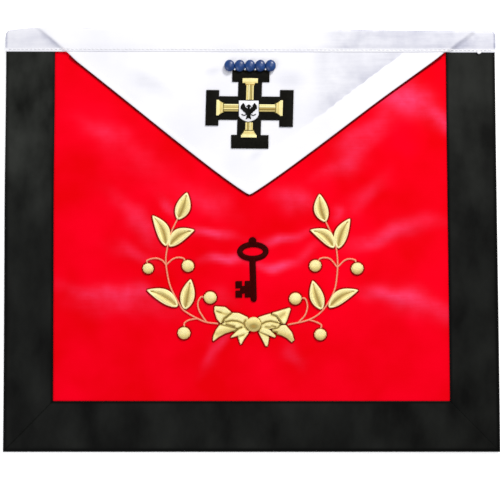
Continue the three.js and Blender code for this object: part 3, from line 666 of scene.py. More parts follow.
def make_piece(
    name: str, shape: Shape, finish: Finish, nodes: list[str], crisp: bool = False
) -> bpy.types.Object:
    """Makes a piece of the apron, in place, riding on the one body.

    Args:
        name: The piece's name.
        shape: Its mesh.
        finish: Its finish.
        nodes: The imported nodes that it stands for.
        crisp: Whether its sharp edges stay sharp.

    Returns:
        The new object.
    """
    mesh = bpy.data.meshes.new(name)
    mesh.from_pydata(shape.corners.tolist(), [], shape.faces.tolist())
    tone = mesh.attributes.new("tone", "FLOAT", "POINT")
    tone.data.foreach_set("value", shape.tones.astype(np.float32))
    order = np.zeros(len(mesh.loops), np.int32)
    mesh.loops.foreach_get("vertex_index", order)
    layer = mesh.uv_layers.new(name="UVMap")
    layer.uv.foreach_set("vector", shape.flat[order].astype(np.float32).ravel())
    mesh.polygons.foreach_set("use_smooth", np.ones(len(mesh.polygons), bool))
    mesh.materials.append(finish.material())
    mesh.update()
    piece = bpy.data.objects.new(name, mesh)
    bpy.context.scene.collection.objects.link(piece)
    if crisp:
        bpy.ops.object.select_all(action="DESELECT")
        bpy.context.view_layer.objects.active = piece
        piece.select_set(True)
        bpy.ops.object.shade_smooth_by_angle(angle=math.radians(50))
        piece.select_set(False)
    return enter_piece(piece, nodes)


def enter_piece(piece: bpy.types.Object, nodes: list[str]) -> bpy.types.Object:
    """Makes a finished object ride on the body and stand for its nodes."""
    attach(piece, "root")
    if nodes:
        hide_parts(*nodes)
    return piece


def cloth_shape(layers: Layers, top: Array, bottom: Array, tones: Array, lifted: bool = True) -> Shape:
    """A closed cloth between two grids of points.

    Args:
        layers: How the cloth lies.
        top: Rows of points on one face, in mm.
        bottom: The same rows on the other face.
        tones: A tone for each point.
        lifted: Whether the waistband's return lifts it.

    Returns:
        The cloth's mesh.
    """
    rows, columns = top.shape[:2]
    count = rows * columns
    grid = np.arange(count).reshape(rows, columns)
    tiles = [grid[:-1, :-1], grid[:-1, 1:], grid[1:, 1:], grid[1:, :-1]]
    face = np.stack([tile.ravel() for tile in tiles], axis=1)
    rim = np.concatenate([grid[0], grid[1:, -1], grid[-1, -2::-1], grid[-2:0:-1, 0]])
    after = np.roll(rim, -1)
    sides = np.stack([after, rim, rim + count, after + count], axis=1)
    points = np.concatenate([top.reshape(-1, 3), bottom.reshape(-1, 3)])
    faces = np.concatenate([face, face[:, ::-1] + count, sides])
    place = points[:, :2] / 1000
    return Shape(layers.settle(points, lifted), faces, np.tile(tones.ravel(), 2), place).outward()


def travelled(line: Array) -> Array:
    """Length of a line up to each of its points."""
    return np.concatenate([[0], np.cumsum(np.linalg.norm(np.diff(line, axis=0), axis=1))])


def directions(path: Array) -> tuple[Array, Array]:
    """The way that a path runs at each point, and the level way across it."""
    run = np.gradient(path, axis=0)
    run = run / np.maximum(np.linalg.norm(run, axis=1, keepdims=True), 1e-9)
    aside = np.stack([run[:, 1], -run[:, 0], np.zeros(len(path))], axis=1)
    return run, aside / np.maximum(np.linalg.norm(aside, axis=1, keepdims=True), 1e-9)


def circle(count: int, closed: bool = False) -> Array:
    """Points round the unit circle. A closed one ends where it began."""
    turns = np.linspace(0, 2 * np.pi, count + 1)[: count + closed]
    return np.column_stack([np.cos(turns), np.sin(turns)])


def raised(plan: Array, height: float | Array) -> Array:
    """Points of a plan, each with its height in the heap."""
    return np.column_stack([plan, np.broadcast_to(height, len(plan))])


def evenly(line: Array, step: float) -> Array:
    """Points along a line, evenly spaced by about the step."""
    lengths = travelled(line)
    count = max(2, math.ceil(lengths[-1] / step) + 1)
    stops = np.linspace(0, lengths[-1], count)
    return np.stack([np.interp(stops, lengths, line[:, i]) for i in range(line.shape[1])], axis=1)


def curve_through(points: Array, per_span: int = 12) -> Array:
    """A smooth curve through points, as the source's own cords run."""
    ends = np.concatenate([[2 * points[0] - points[1]], points, [2 * points[-1] - points[-2]]])
    line = [points[0]]
    for p, q, r, s in zip(ends, ends[1:], ends[2:], ends[3:]):
        stops = np.linspace(0, 1, per_span + 1)[1:, None]
        square = 2 * p - 5 * q + 4 * r - s
        cube = 3 * q - 3 * r + s - p
        line.extend(0.5 * (2 * q + (r - p) * stops + square * stops**2 + cube * stops**3))
    return np.array(line)


def edge_distance(points: Array, outline: Array) -> Array:
    """How far each point lies from the nearest side of an outline."""
    start = outline
    along = np.roll(outline, -1, axis=0) - start
    away = points[:, None, :] - start[None]
    share = np.clip((away * along).sum(2) / (along**2).sum(1), 0, 1)
    return np.linalg.norm(away - share[..., None] * along[None], axis=2).min(1)


def turned(points: Array, degrees: float) -> Array:
    """Points turned about the origin."""
    turn = math.radians(degrees)
    matrix = np.array([[math.cos(turn), math.sin(turn)], [-math.sin(turn), math.cos(turn)]])
    return np.asarray(points, float) @ matrix


def rows_across(outline: Array, heading: float, pitch: float) -> list[Array]:
    """Straight rows, side by side, that fill an outline.

    Args:
        outline: The outline's corners, in mm.
        heading: The direction of the rows, in degrees.
        pitch: How far apart they are, in mm.

    Returns:
        Both ends of each row.
    """
    flat = turned(outline, -heading)
    low, high = flat[:, 1].min(), flat[:, 1].max()
    count = max(1, round((high - low) / pitch))
    ends = np.roll(flat, -1, axis=0)
    rows = []
    for at in low + (np.arange(count) + 0.5) * (high - low) / count:
        crossing = (flat[:, 1] > at) != (ends[:, 1] > at)
        a, b = flat[crossing], ends[crossing]
        places = np.sort(a[:, 0] + (at - a[:, 1]) / (b[:, 1] - a[:, 1]) * (b[:, 0] - a[:, 0]))
        for first, last in zip(places[::2], places[1::2]):
            rows.append(turned(np.array([[first, at], [last, at]]), heading))
    return rows


@dataclass
class Needlework:
    """Gathers coils, threads and cords until they become one piece."""

    layers: Layers
    corners: list[Array] = field(default_factory=list)
    faces: list[Array] = field(default_factory=list)
    tones: list[Array] = field(default_factory=list)
    places: list[Array] = field(default_factory=list)
    count: int = 0
    groove_width: float = 0.84
    groove_shade: float = 0.06

    def strand(
        self, path: Array, wide: float | Array, tall: float | Array | None = None,
        sides: int = 6, tone: float | Array = 1.0,
    ) -> None:
        """Adds a closed strand along a path.

        Args:
            path: Points in mm, the last number being the height in the heap.
            wide: Half its width, or one for each point.
            tall: Half its height, where it isn't round.
            sides: How many sides it has, an even number.
            tone: Its tone, or one for each point.
        """
        count = len(path)
        wide = np.broadcast_to(wide, count)
        tall = wide if tall is None else np.broadcast_to(tall, count)
        run, aside = directions(path)
        upward = np.cross(aside, run)
        turns = 2 * np.pi * (np.arange(sides) + 0.5) / sides
        ring = (
            path[:, None]
            + np.cos(turns)[None, :, None] * aside[:, None] * wide[:, None, None]
            + np.sin(turns)[None, :, None] * upward[:, None] * tall[:, None, None]
        )
        grid = self.count + np.arange(count * sides).reshape(count, sides)
        after = np.roll(grid, -1, axis=1)
        skin = np.stack([grid[:-1], grid[1:], after[1:], after[:-1]], axis=-1).reshape(-1, 4)
        cap = np.array([[0, i, i + 1, i + 2] for i in range(1, sides - 2, 2)])
        self.corners.append(ring.reshape(-1, 3))
        self.faces += [skin, grid[0][cap], grid[-1][cap][:, ::-1]]
        self.tones.append(np.repeat(np.broadcast_to(tone, count), sides).astype(float))
        around = np.tile(np.arange(sides) / sides, count)
        self.places.append(np.stack([np.repeat(travelled(path), sides) / 1000, around], axis=1))
        self.count += count * sides

    def purl(
        self, path: Array, radius: float | Array, pitch: float = 0.9,
        tone: float | Array = 1.0, sides: int = 6,
    ) -> None:
        """Adds a chip of coiled wire, ribbed along its length.

        Args:
            path: Points in mm.
            radius: The coil's radius, or one for each point of the path.
            pitch: How far apart its ribs are.
            tone: Its tone, or one for each point of the path.
            sides: How many sides it has.
        """
        extra = [np.broadcast_to(radius, len(path)), np.broadcast_to(tone, len(path))]
        line = evenly(np.column_stack([path, *extra]), pitch / 2)
        # Painted shade: every other ring, in the groove between turns, is narrower and darker.
        in_groove = np.arange(len(line)) % 2 == 0
        width = line[:, 3] * np.where(in_groove, self.groove_width, 1.0)
        tones = np.clip(line[:, 4] - np.where(in_groove, self.groove_shade, 0.0), 0, 1)
        self.strand(line[:, :3], width, sides=sides, tone=tones)

    def twist(self, path: Array, radius: float, pitch: float = 2.4) -> None:
        """Adds a cord of two plies twisted round each other."""
        line = evenly(path, pitch / 8)
        aside = directions(line)[1]
        for start in (0.0, math.pi):
            turn = start + 2 * math.pi * np.arange(len(line)) / 8
            ply = line + 0.5 * radius * np.cos(turn)[:, None] * aside
            ply[:, 2] += 0.5 * radius * np.sin(turn)
            self.strand(ply, 0.56 * radius, tone=0.6)

    def purl_fill(
        self, outline: Array, heading: float, base: Level, rise: float, radius: float,
        shoulder: float, tone: Level, dent: Level | None = None,
    ) -> None:
        """Fills an outline with coiled chips side by side over a dome of padding.

        Args:
            outline: The outline's corners, in mm.
            heading: The direction of the chips, in degrees.
            base: Height of what the piece lies on.
            rise: Height of the piece.
            radius: Radius of a chip.
            shoulder: How far in from the edge the dome is full.
            tone: The tone of a place on top.
            dent: How deep a place is creased, from 0 to 1.
        """
        for row in rows_across(outline, heading, 1.5 * radius):
            length = np.linalg.norm(row[1] - row[0])
            if length < 1.4 * radius:
                continue
            inset = (row[1] - row[0]) / length * radius * 0.6
            line = evenly(np.array([row[0] + inset, row[1] - inset]), 0.5)
            x, y = line[:, 0], line[:, 1]
            reach = np.clip(edge_distance(line, outline) / shoulder, 0, 1)
            dome = np.sqrt(np.clip(1 - (1 - reach) ** 2, 0, 1))
            creased = dent(x, y) if dent else 0 * x
            low = base(x, y)
            middle = low + radius * 0.8 + (rise - 1.8 * radius) * dome * (1 - 0.75 * creased)
            # Painted shade: darker towards the dome's edges and in creases, with a lowest tone.
            shade = np.maximum(tone(x, y) * (0.88 + 0.12 * dome) * (1 - creased), 0.15)
            self.purl(raised(line, middle), radius, tone=shade)
            # The padding under the chips is coloured dark, as painted shade.
            under = raised(line, (low + middle) / 2)
            self.strand(under[:: max(1, len(under) // 4)], radius, (middle - low).min() / 2 + 0.01,
                        sides=4, tone=0.12)

    def shadow_rim(self, plan: Array, low: float, wide: float = 1.35) -> None:
        """Adds a flat dark red thread all round a padded piece, as the painted shadow at its foot."""
        self.strand(raised(plan, low + 0.12), wide, 0.28, sides=4, tone=0.0)

    def thread_fill(
        self, outline: Array, heading: float, base: Level, rise: float, pitch: float = 0.75
    ) -> None:
        """Fills an outline with satin stitches side by side.

        Args:
            outline: The outline's corners, in mm.
            heading: The direction of the stitches, in degrees.
            base: Height of what the piece lies on.
            rise: Height of the piece.
            pitch: How far apart the stitches are.
        """
        for row in rows_across(outline, heading, pitch):
            self.stitch(row[0], row[1], base, rise, pitch)

    def stitch(self, start: Array, end: Array, base: Level, rise: float, pitch: float) -> None:
        """Adds one satin stitch that dives into the cloth at both ends."""
        length = max(np.linalg.norm(end - start), 1e-6)
        inset = min(0.45, length / 4) / length
        count = max(2, math.ceil(length / 6))
        shares = np.concatenate([
            [0, inset * 0.4], np.linspace(inset, 1 - inset, count), [1 - inset * 0.4, 1]
        ])
        line = start + shares[:, None] * (end - start)
        full = np.concatenate([[0.45, 0.82], np.ones(count), [0.82, 0.45]])
        low = base(line[:, 0], line[:, 1]) - 0.15
        tall = (rise + 0.15) * full / 2
        self.strand(raised(line, low + tall), pitch * 0.62, tall)

    def piece(
        self, name: str, finish: Finish, slot: Slot, nodes: list[str], fill: float | None = None
    ) -> bpy.types.Object:
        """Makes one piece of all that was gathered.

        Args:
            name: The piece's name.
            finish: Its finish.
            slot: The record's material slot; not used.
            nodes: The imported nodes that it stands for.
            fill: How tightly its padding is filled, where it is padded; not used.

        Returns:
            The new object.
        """
        corners = self.layers.settle(np.concatenate(self.corners))
        shape = Shape(
            corners, np.concatenate(self.faces), np.concatenate(self.tones),
            np.concatenate(self.places),
        )
        made = make_piece(name, shape, finish, nodes)
        return made

    def bullion(self, name: str, fill: float = 0.8) -> bpy.types.Object:
        """Makes one padded gold piece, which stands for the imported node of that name."""
        return self.piece(name + "_bullion", GOLD_WIRE, Slot.GOLD_THREAD, [name], fill)


# Cloths


def fold_section(
    depths: Array, tops: Array, back: float, wall: float, reach: float
) -> tuple[Array, Array]:
    """The section of a ribbon folded round an edge, as depth in from the edge and height.

    Args:
        depths: Depths along the front leg, the first one being the fold's reach.
        tops: Heights of the front leg's face there.
        back: How deep the back leg is.
        wall: The ribbon's thickness.
        reach: How far in the fold is round.

    Returns:
        The outer side and the inner side, from the back leg's end to the front leg's.
    """
    turn = np.linspace(0, np.pi, 13)
    leg = np.linspace(back, reach, 6)[:-1]
    half = tops[0] / 2
    outer_round = [reach * (1 - np.sin(turn)), half * (1 - np.cos(turn))]
    inner_round = [reach - (reach - wall) * np.sin(turn), half - (half - wall) * np.cos(turn)]
    outer = np.stack([
        np.concatenate([leg, outer_round[0], depths[1:]]),
        np.concatenate([0 * leg, outer_round[1], tops[1:]]),
    ], axis=1)
    inner = np.stack([
        np.concatenate([leg, inner_round[0], depths[1:]]),
        np.concatenate([0 * leg + wall, inner_round[1], tops[1:] - wall]),
    ], axis=1)
    outer[-1, 1] -= 0.35 * wall
    outer[-2, 1] -= 0.08 * wall
    return outer, inner


@dataclass
class Field:
    """The red satin field."""

    layers: Layers
    edge: float = 198.4
    foot: float = -170.4
    step: float = 2.5

    def build(self) -> list[bpy.types.Object]:
        """Lays the satin inside the ribbon, under the waistband."""
        lay = self.layers
        across = np.linspace(-self.edge, self.edge, round(2 * self.edge / self.step))
        shares = np.linspace(0, 1, round(2 * lay.half_height / self.step))[:, None]
        x = np.broadcast_to(across, (len(shares), len(across)))
        y = self.foot + (lay.tucked_edge(across) - self.foot) * shares
        top = np.stack([x, y, lay.panel_top + 0 * x], axis=-1)
        bottom = np.stack([x, y, lay.panel_bottom + 0 * x], axis=-1)
        # The tone is the painted highlight along the folds.
        shape = cloth_shape(lay, top, bottom, lay.painted_light(x, y))
        piece = make_piece("field_satin", shape, RED_SATIN, ["apron_panel"], crisp=True)
        return [piece]


@dataclass
class Border:
    """The black ribbon folded round the sides and the bottom, mitred at the lower corners."""

    layers: Layers
    back: float = 12
    reach: float = 2.1
    step: float = 3.0

    def section(self) -> tuple[Array, Array]:
        """Both sides of the ribbon's section."""
        lay = self.layers
        leg = np.linspace(self.reach, lay.ribbon_width - 0.8, 22)
        depths = np.concatenate([leg, [lay.ribbon_width - 0.35, lay.ribbon_width]])
        tops = np.full(len(depths), lay.ribbon_top)
        return fold_section(depths, tops, self.back, lay.ribbon_wall, self.reach)

    def ribbon(
        self, name: str, node: str, length: float, ends: Callable[[Array], tuple]
    ) -> bpy.types.Object:
        """Makes one ribbon.

        Args:
            name: The piece's name.
            node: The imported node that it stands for.
            length: Its length, in mm.
            ends: Gives both ends of the line at a depth in from the edge.

        Returns:
            The new object.
        """
        edge = np.array([0, 0.3, 0.7, 1.2]) / length
        middle = np.linspace(edge[-1], 1 - edge[-1], round(length / self.step))
        shares = np.concatenate([edge[:-1], middle, 1 - edge[-2::-1]])[:, None, None]
        dip = 0.4 * np.clip(1 - np.minimum(shares, 1 - shares)[..., 0] * length / 1.2, 0, 1) ** 2
        faces = []
        for side, depth in zip(self.section(), (1, 0)):
            first, last = ends(side[:, 0])
            plan = first[None] + (last - first)[None] * shares
            front = side[:, 1] > self.layers.panel_top
            high = side[:, 1] - depth * dip * front
            faces.append(np.concatenate([plan, high[..., None]], axis=2))
        shape = cloth_shape(self.layers, faces[0], faces[1], self.shade(faces[0]))
        run = np.broadcast_to(shares[..., 0], faces[0].shape[:2]).ravel() * length / 1000
        wide = np.broadcast_to(self.section()[0][:, 0], faces[0].shape[:2]).ravel() / 1000
        shape.flat = np.tile(np.stack([run, wide], axis=1), (2, 1))
        piece = make_piece(name, shape, BLACK_RIBBON, [node], crisp=True)
        return piece

    def shade(self, points: Array) -> Array:
        """How dark the ribbon is: darker low down and on the right; painted shade along both edges."""
        lay = self.layers
        x, y = points[..., 0], points[..., 1]
        depth = np.minimum(lay.half_width - np.abs(x), y + lay.half_height)
        # A darker share low down and on the upper right, none on the upper left.
        worn = 0.66 * (1 - ease(-20, 110, y)) + 0.42 * (x > 0) * ease(-20, 110, y)
        # Painted shade at the fold along the outer edge and beside the field along the inner edge.
        edge_shade = np.exp(-((depth / 2.2) ** 2)) + 0.8 * np.exp(-(((lay.ribbon_width - depth) / 1.1) ** 2))
        return np.clip(worn + 0.9 * edge_shade, 0, 0.97)

    def build(self) -> list[bpy.types.Object]:
        """Makes the two sides and the bottom."""
        lay = self.layers
        gap = 0.02

        def upright(side: Side) -> Callable[[Array], tuple]:
            def ends(depth: Array) -> tuple:
                x = side.value * (lay.half_width - depth)
                low = -lay.half_height + depth + gap
                return np.stack([x, lay.tucked_edge(x)], 1), np.stack([x, low], 1)

            return ends

        def across(depth: Array) -> tuple:
            end = lay.half_width - depth - gap
            y = -lay.half_height + depth
            return np.stack([-end, y], 1), np.stack([end, y], 1)

        length, width = 2 * lay.half_height, 2 * lay.half_width
        return [
            self.ribbon("ribbon_left", "border_left", length, upright(Side.LEFT)),
            self.ribbon("ribbon_right", "border_right", length, upright(Side.RIGHT)),
            self.ribbon("ribbon_bottom", "border_bottom", width, across),
        ]


# How much of the white satin's painted shade a soft dip takes, against a sharp crease's 1.
SHADE_SHARE = 0.62

# Faint soft painted shade on the white flap, where the cloth dips between the cross and the edge.
FLAP_SHADES = (
    Fold(-82, 128, -25, 34, 13, 0.3, 0.35),
    Fold(-30, 138, 12, 11, 6, 0.2, 0.45),
    Fold(34, 131, -8, 20, 12, 0.2, 0.45),
    Fold(6, 69, 40, 14, 6, 0.2, 0.3),
)


@dataclass
class Flap:
    """The white satin triangle, with its turned seam showing through along the right edge."""

    layers: Layers
    step: float = 2.2
    rows: int = 56
    edge_lift: float = 0.9
    shadow_line_shown: tuple[float, float] = (1.6, 1.6)

    def tone(self, x: Array, y: Array) -> Array:
        """Painted shade: soft dips, shade fading inward from the turned seam, and a crease up right."""
        lay = self.layers
        inside = lay.allowance(x, y)
        within = (inside > 0) * (x > lay.flap_tip[0])
        seam_shade = 0.5 * np.exp(-np.maximum(inside, 0) / 14) * ease(70, 118, y)
        creased = 0.42 * ease(47, 62, x) * ease(96, 114, y)
        dips = sum(s.painted_light * s.share(x, y) for s in FLAP_SHADES)
        return np.clip(SHADE_SHARE * ((seam_shade + creased) * within + dips), 0, 1)

    def build(self) -> list[bpy.types.Object]:
        """Cuts the triangle and lays it over the field and the ribbons."""
        lay = self.layers
        left, right = lay.flap_reach
        blunt = 1 - (lay.tuck + 1.2) / lay.flap_drop
        tip = lay.flap_tip[0]
        spans = [left * blunt, right * blunt]
        across = np.concatenate([
            np.linspace(tip - spans[0], tip, round(spans[0] / self.step))[:-1],
            np.linspace(tip, tip + spans[1], round(spans[1] / self.step)),
        ])
        near = np.array([0, 0.3, 0.7, 1.2, 2.0])[:, None] * np.hypot(1, lay.flap_slope(across))
        start = lay.flap_edge(across)
        tall = lay.tucked_edge(across) - start
        near = near / np.maximum(tall, 6)
        rest = np.linspace(0, 1, self.rows - 4)[1:, None]
        share = np.concatenate([near, near[-1] + (1 - near[-1]) * rest])
        x = np.broadcast_to(across, share.shape)
        y = start + tall * share
        inside = lay.inside_flap(x, y)
        round_off = 0.5 * np.clip(1 - inside / 1.2, 0, 1) ** 2
        lift = self.edge_lift * np.exp(-inside / 3.5) * (1 - ease(138, 150, y))
        top = np.stack([x, y, lay.on_flap(x, y) + lift - round_off], axis=-1)
        bottom = np.stack([x, y, lay.flap_top(x) + lift - lay.flap_wall], axis=-1)
        shape = cloth_shape(lay, top, bottom, self.tone(x, y))
        piece = make_piece("flap_satin", shape, WHITE_SATIN, ["flap"], crisp=True)
        return [piece, self.shadow_line()]

    def shadow_line(self) -> bpy.types.Object:
        """A flat dark cord under the slanting edges: a painted shadow, seen as a thin line on the
        field.
        """
        lay = self.layers
        work = Needlework(lay)
        tip, half = lay.flap_tip[0], 1.0
        for side, reach, shown in zip((-1, 1), lay.flap_reach, self.shadow_line_shown):
            across = tip + side * np.linspace(0, 0.86 * reach, 90)
            slope = lay.flap_slope(across)
            out = (shown - half) / np.hypot(1, slope)
            low = lay.flap_top(across) - lay.flap_wall - lay.gap + 0.4
            path = [across + side * slope * out, lay.flap_edge(across) - out, low]
            work.strand(np.stack(path, axis=1), half, 0.35)
        return work.piece("flap_shadow_line", FLAP_SHADOW_THREAD, Slot.BLACK_THREAD, [])


@dataclass
class Waistband:
    """The white satin band folded over the top edge, with a stitched roll along its foot.

    The roll's numbers are its height and how far it lies beyond the seam. The band thins over its
    last mm, on its face and on its underside. The columns are finer over its slanting ends.
    """

    layers: Layers
    reach: float = 2.3
    step: float = 2.0
    seam: float = 2.0
    groove: float = 0.05
    roll: tuple[float, float] = (0.12, 0.9)
    thins_over: float = 7
    thinned: tuple[float, float] = (1.15, 0.32)
    fine_columns: tuple[int, int] = (148, 182)
    stitch_pitch: float = 3.4
    stitch_length: float = 2.2
    loose_end: tuple[float, float] = (186.3, 152.9)

    def build(self) -> list[bpy.types.Object]:
        """Folds the band over the heap and sews it down."""
        lay = self.layers
        near, far = self.fine_columns
        side = np.concatenate([
            np.linspace(near, far, far - near + 1)[:-1],
            lay.half_width - (lay.half_width - far) * np.linspace(1, 0, 46) ** 1.8,
        ])
        across = np.concatenate([
            -side[::-1], np.linspace(-near, near, round(2 * near / self.step))[1:-1], side
        ])
        legs = [
            np.linspace(self.reach, lay.band_depth - 3.2, 14),
            np.linspace(lay.band_depth - 2.8, lay.band_depth, 12),
        ]
        depths = np.concatenate(legs)
        seam = lay.band_depth - self.seam
        groove = -self.groove * np.exp(-(((depths - seam) / 0.5) ** 2))
        roll = self.roll[0] * np.exp(-(((depths - seam - self.roll[1]) / 0.5) ** 2))
        into = (depths - lay.band_depth + self.thins_over) / self.thins_over
        thin = 0.75 * np.clip(into, 0, 1) ** 1.4
        outer, inner = [], []
        for x in across:
            top = float(lay.top_edge(x))
            fall = (top - lay.band_foot()) / lay.band_depth
            at = np.full(len(depths), x)
            high = lay.band_top(at, top - depths * fall) + groove + roll
            sides = fold_section(depths, high, lay.band_return, lay.band_wall, self.reach)
            for side, share in zip(sides, self.thinned):
                side[-len(thin):, 1] -= share * thin
            for side, rows in zip(sides, (outer, inner)):
                plan = np.where(side[:, 0] > self.reach, side[:, 0] * fall, side[:, 0])
                rows.append(np.stack([np.full(len(side), x), top - plan, side[:, 1]], axis=1))
        top, bottom = np.array(outer), np.array(inner)
        tones = self.tone(top[..., 0], top[..., 1])
        shape = cloth_shape(lay, top, bottom, tones, lifted=False)
        band = make_piece(
            "waistband_satin", shape, WHITE_SATIN, ["waistband"], crisp=True
        )
        return [band, self.stitches()]

    def tone(self, x: Array, y: Array) -> Array:
        """Painted shade on the band: both ends, the step beside the flap, the right half and the fold.
        """
        lay = self.layers
        beside = -lay.inside_flap(x, y) + 1.5 * (x < 0)
        deep = lay.top_edge(x) - y
        shade_by_depth = np.interp(deep, [0, 4, 9, 15, 18], [0.55, 0.75, 1.1, 0.85, 0.6])
        ends = (0.6 + 0.28 * (x > 0)) * ease(0.5, 2.2, beside) * shade_by_depth
        near = np.where(beside < 1.7, 1.2, 4 + 1.5 * (x > 0))
        step = (0.45 + 0.5 * (x > 0)) * np.exp(-(((beside - 1.7) / near) ** 2)) * ease(0, 12, deep)
        half = 0.85 * ease(50, 78, x) * (1 - ease(0.5, 2.2, beside))
        fold = 0.7 * np.exp(-(((deep - 0.3) / 0.8) ** 2))
        rim = 0.6 * ease(lay.half_width - 2.6, lay.half_width - 0.6, np.abs(x))
        # The roll at the foot gets none of the painted shade.
        roll = 1 - ease(lay.band_foot() + 3.4, lay.band_foot() + 2.2, y)
        return np.clip((SHADE_SHARE * (ends + half) + step + fold + rim) * roll, 0, 1)

    def stitches(self) -> bpy.types.Object:
        """Small stitches along the groove, and one loose end over the ribbon on the right."""
        lay = self.layers
        work = Needlework(lay)
        foot = lay.band_foot() + self.seam

        def base(x: Array, y: Array) -> Array:
            return lay.band_top(x, y) - lay.rise(y) - 0.35

        for x in np.arange(-lay.half_width + 3, lay.half_width - 3, self.stitch_pitch):
            end = np.array([x + self.stitch_length, foot])
            work.stitch(np.array([x, foot]), end, base, 0.3, 0.45)
        x, y = self.loose_end
        knot = np.array([[x - 1.8, y + 1.2], [x - 0.2, y - 0.5], [x + 1.7, y + 0.3]])
        low = lay.band_top(knot[:, 0], knot[:, 1]) - lay.rise(knot[:, 1])
        path = raised(knot, low + np.array([0, -0.4, -0.5]))
        work.strand(evenly(curve_through(path), 0.3), 0.8)
        return work.piece("waistband_stitches", WHITE_THREAD, Slot.WHITE_THREAD, [])


# Cross


@dataclass
class Cross:
    """The black cross with gold arms, and the shield and bird at its centre."""

    layers: Layers
    centre: tuple[float, float] = (0.1, 107.2)
    lean: float = -0.5
    shear: float = 0.02
    badge_aside: tuple[float, float] = (-0.6, -0.8)
    width: float = 71.5
    height: float = 64.2
    bar: float = 30.4
    bar_depth: float = 10.3
    stem: float = 19.2
    rise: float = 1.2
    gold_shaft: float = 6.5
    gold_cap: float = 13.4
    cap_depth: float = 6.3
    top_cap_depth: float = 5.7
    gold_reach: float = 0.76
    gold_rise: float = 1.6
    shield: tuple[float, float] = (15.8, 17.5)
    shield_foot: float = 0.61
    shield_rise: float = 0.8
    bird_size: float = 13.6
    bird_rise: float = 0.6

    def at(self, points: list | Array) -> Array:
        """Points given from the cross's centre, in the apron's own mm."""
        points = np.asarray(points, float)
        sheared = np.stack([points[:, 0] + self.shear * points[:, 1], points[:, 1]], axis=1)
        return turned(sheared, self.lean) + np.array(self.centre)

    def box(self, left: float, low: float, right: float, high: float) -> Array:
        """Corners of a rectangle given from the cross's centre."""
        return self.at([[left, low], [right, low], [right, high], [left, high]])

    def on_cross(self, x: Array, y: Array) -> Array:
        """Height of the cross's black stitching."""
        return self.layers.on_flap(x, y) + self.rise

    def black(self) -> bpy.types.Object:
        """Satin stitch across each arm and each bar."""
        work = Needlework(self.layers)
        base = self.layers.on_flap
        w, h, stem, bar = self.width / 2, self.height / 2, self.stem / 2, self.bar / 2
        deep = self.bar_depth
        flat, upright = self.lean, 90 + self.lean
        work.thread_fill(self.box(-stem, -h + deep - 0.5, stem, h - deep), flat, base, self.rise)
        for side in (-1, 1):
            inner, outer = sorted((side * stem, side * (w - deep)))
            work.thread_fill(self.box(inner, -stem, outer, stem), upright, base, self.rise)
        # The bars were cut by hand, so each differs a little from the next.
        bars = (
            (flat, self.box(-w, 0.6 - bar, deep - w, bar - 0.5)),
            (flat, self.box(w - deep - 0.6, -bar, w, bar)),
            (upright, self.box(0.4 - bar, h - deep, bar + 0.4, h - 0.8)),
            (upright, self.box(0.9 - bar, -h - 1.0, bar + 0.9, deep - h - 0.5)),
        )
        for heading, outline in bars:
            work.thread_fill(outline, heading, base, self.rise + 0.1)
        return work.piece(
            "cross_stitching", BLACK_THREAD, Slot.BLACK_THREAD, ["cross_potent"], fill=0.8
        )

    def gold(self, name: str, turn: float, start: float, end: float, cap: float) -> bpy.types.Object:
        """One gold arm: long coils side by side, and a flared end of short coils across.

        Args:
            name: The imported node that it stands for.
            turn: The arm's direction, in degrees.
            start: Where the shield ends.
            end: Where the cross ends.
            cap: How deep its flared end is.

        Returns:
            The new object.
        """
        work = Needlework(self.layers)
        first, last = start + 0.6, end * self.gold_reach
        neck = last - cap

        def laid(points: list, highs: list) -> Array:
            plan = self.at(turned(points, turn))
            base = self.on_cross(plan[:, 0], plan[:, 1])
            return raised(plan, base + np.array(highs))

        half = self.gold_shaft / 2
        # Painted light: a darker streak in the middle, and strands higher up the apron lighter.
        for aside, high, lit in (
            (-2.35, 0.45, 0.85), (-0.8, 0.95, 0.5), (0.8, 1.0, 0.97), (2.35, 0.45, 0.8)
        ):
            uphill = turned([[0, aside]], turn)[0, 1] / half
            line = laid([[first, aside], [neck + 0.4, aside]], [high, high])
            work.purl(line, 0.86, tone=np.clip(lit + 0.4 * uphill, 0.2, 1))
        for share, reach, tone in FLAT_CAP_ROWS if turn == 90 else CAP_ROWS:
            out = neck + 0.5 + share * (cap - 1.0)
            wide = reach * self.gold_cap / 2 - 0.3
            crown = self.gold_rise * (0.45 + 0.25 * share)
            line = laid([[out, -wide], [out, 0], [out, wide]], [0.5, crown, 0.5])
            work.purl(evenly(line, 0.6), 0.72, tone=tone)
        # The padding under the coils is coloured near black, as painted shade.
        under = laid([[first, 0], [neck, 0]], [0.3, 0.3])
        work.strand(under, half - 0.6, 0.4, sides=4, tone=0.05)
        return work.bullion(name)

    def shield_outline(self, inset: float = 0.0) -> Array:
        """The shield's outline, drawn in by the inset."""
        half = self.shield[0] / 2 - inset
        foot = self.shield[1] * self.shield_foot - inset
        head = self.shield[1] * (1 - self.shield_foot) - inset
        bend = np.linspace(0, 1, 9)[:, None]
        a, b, c = (np.array(p) for p in ((-half, -foot * 0.5), (-half * 0.9, -foot * 0.84), (0, -foot)))
        left = (1 - bend) ** 2 * a + 2 * bend * (1 - bend) * b + bend**2 * c
        right = left[::-1] * np.array([-1, 1])
        outline = np.concatenate([[[-half, head]], left, right[1:], [[half, head]]])
        return self.at(outline + self.badge_aside)

    def badge(self) -> list[bpy.types.Object]:
        """The white shield and the bird with raised wings on it."""
        white = Needlework(self.layers)
        white.thread_fill(self.shield_outline(), 90, self.on_cross, self.shield_rise, 0.7)

        def on_shield(x: Array, y: Array) -> Array:
            return self.on_cross(x, y) + self.shield_rise

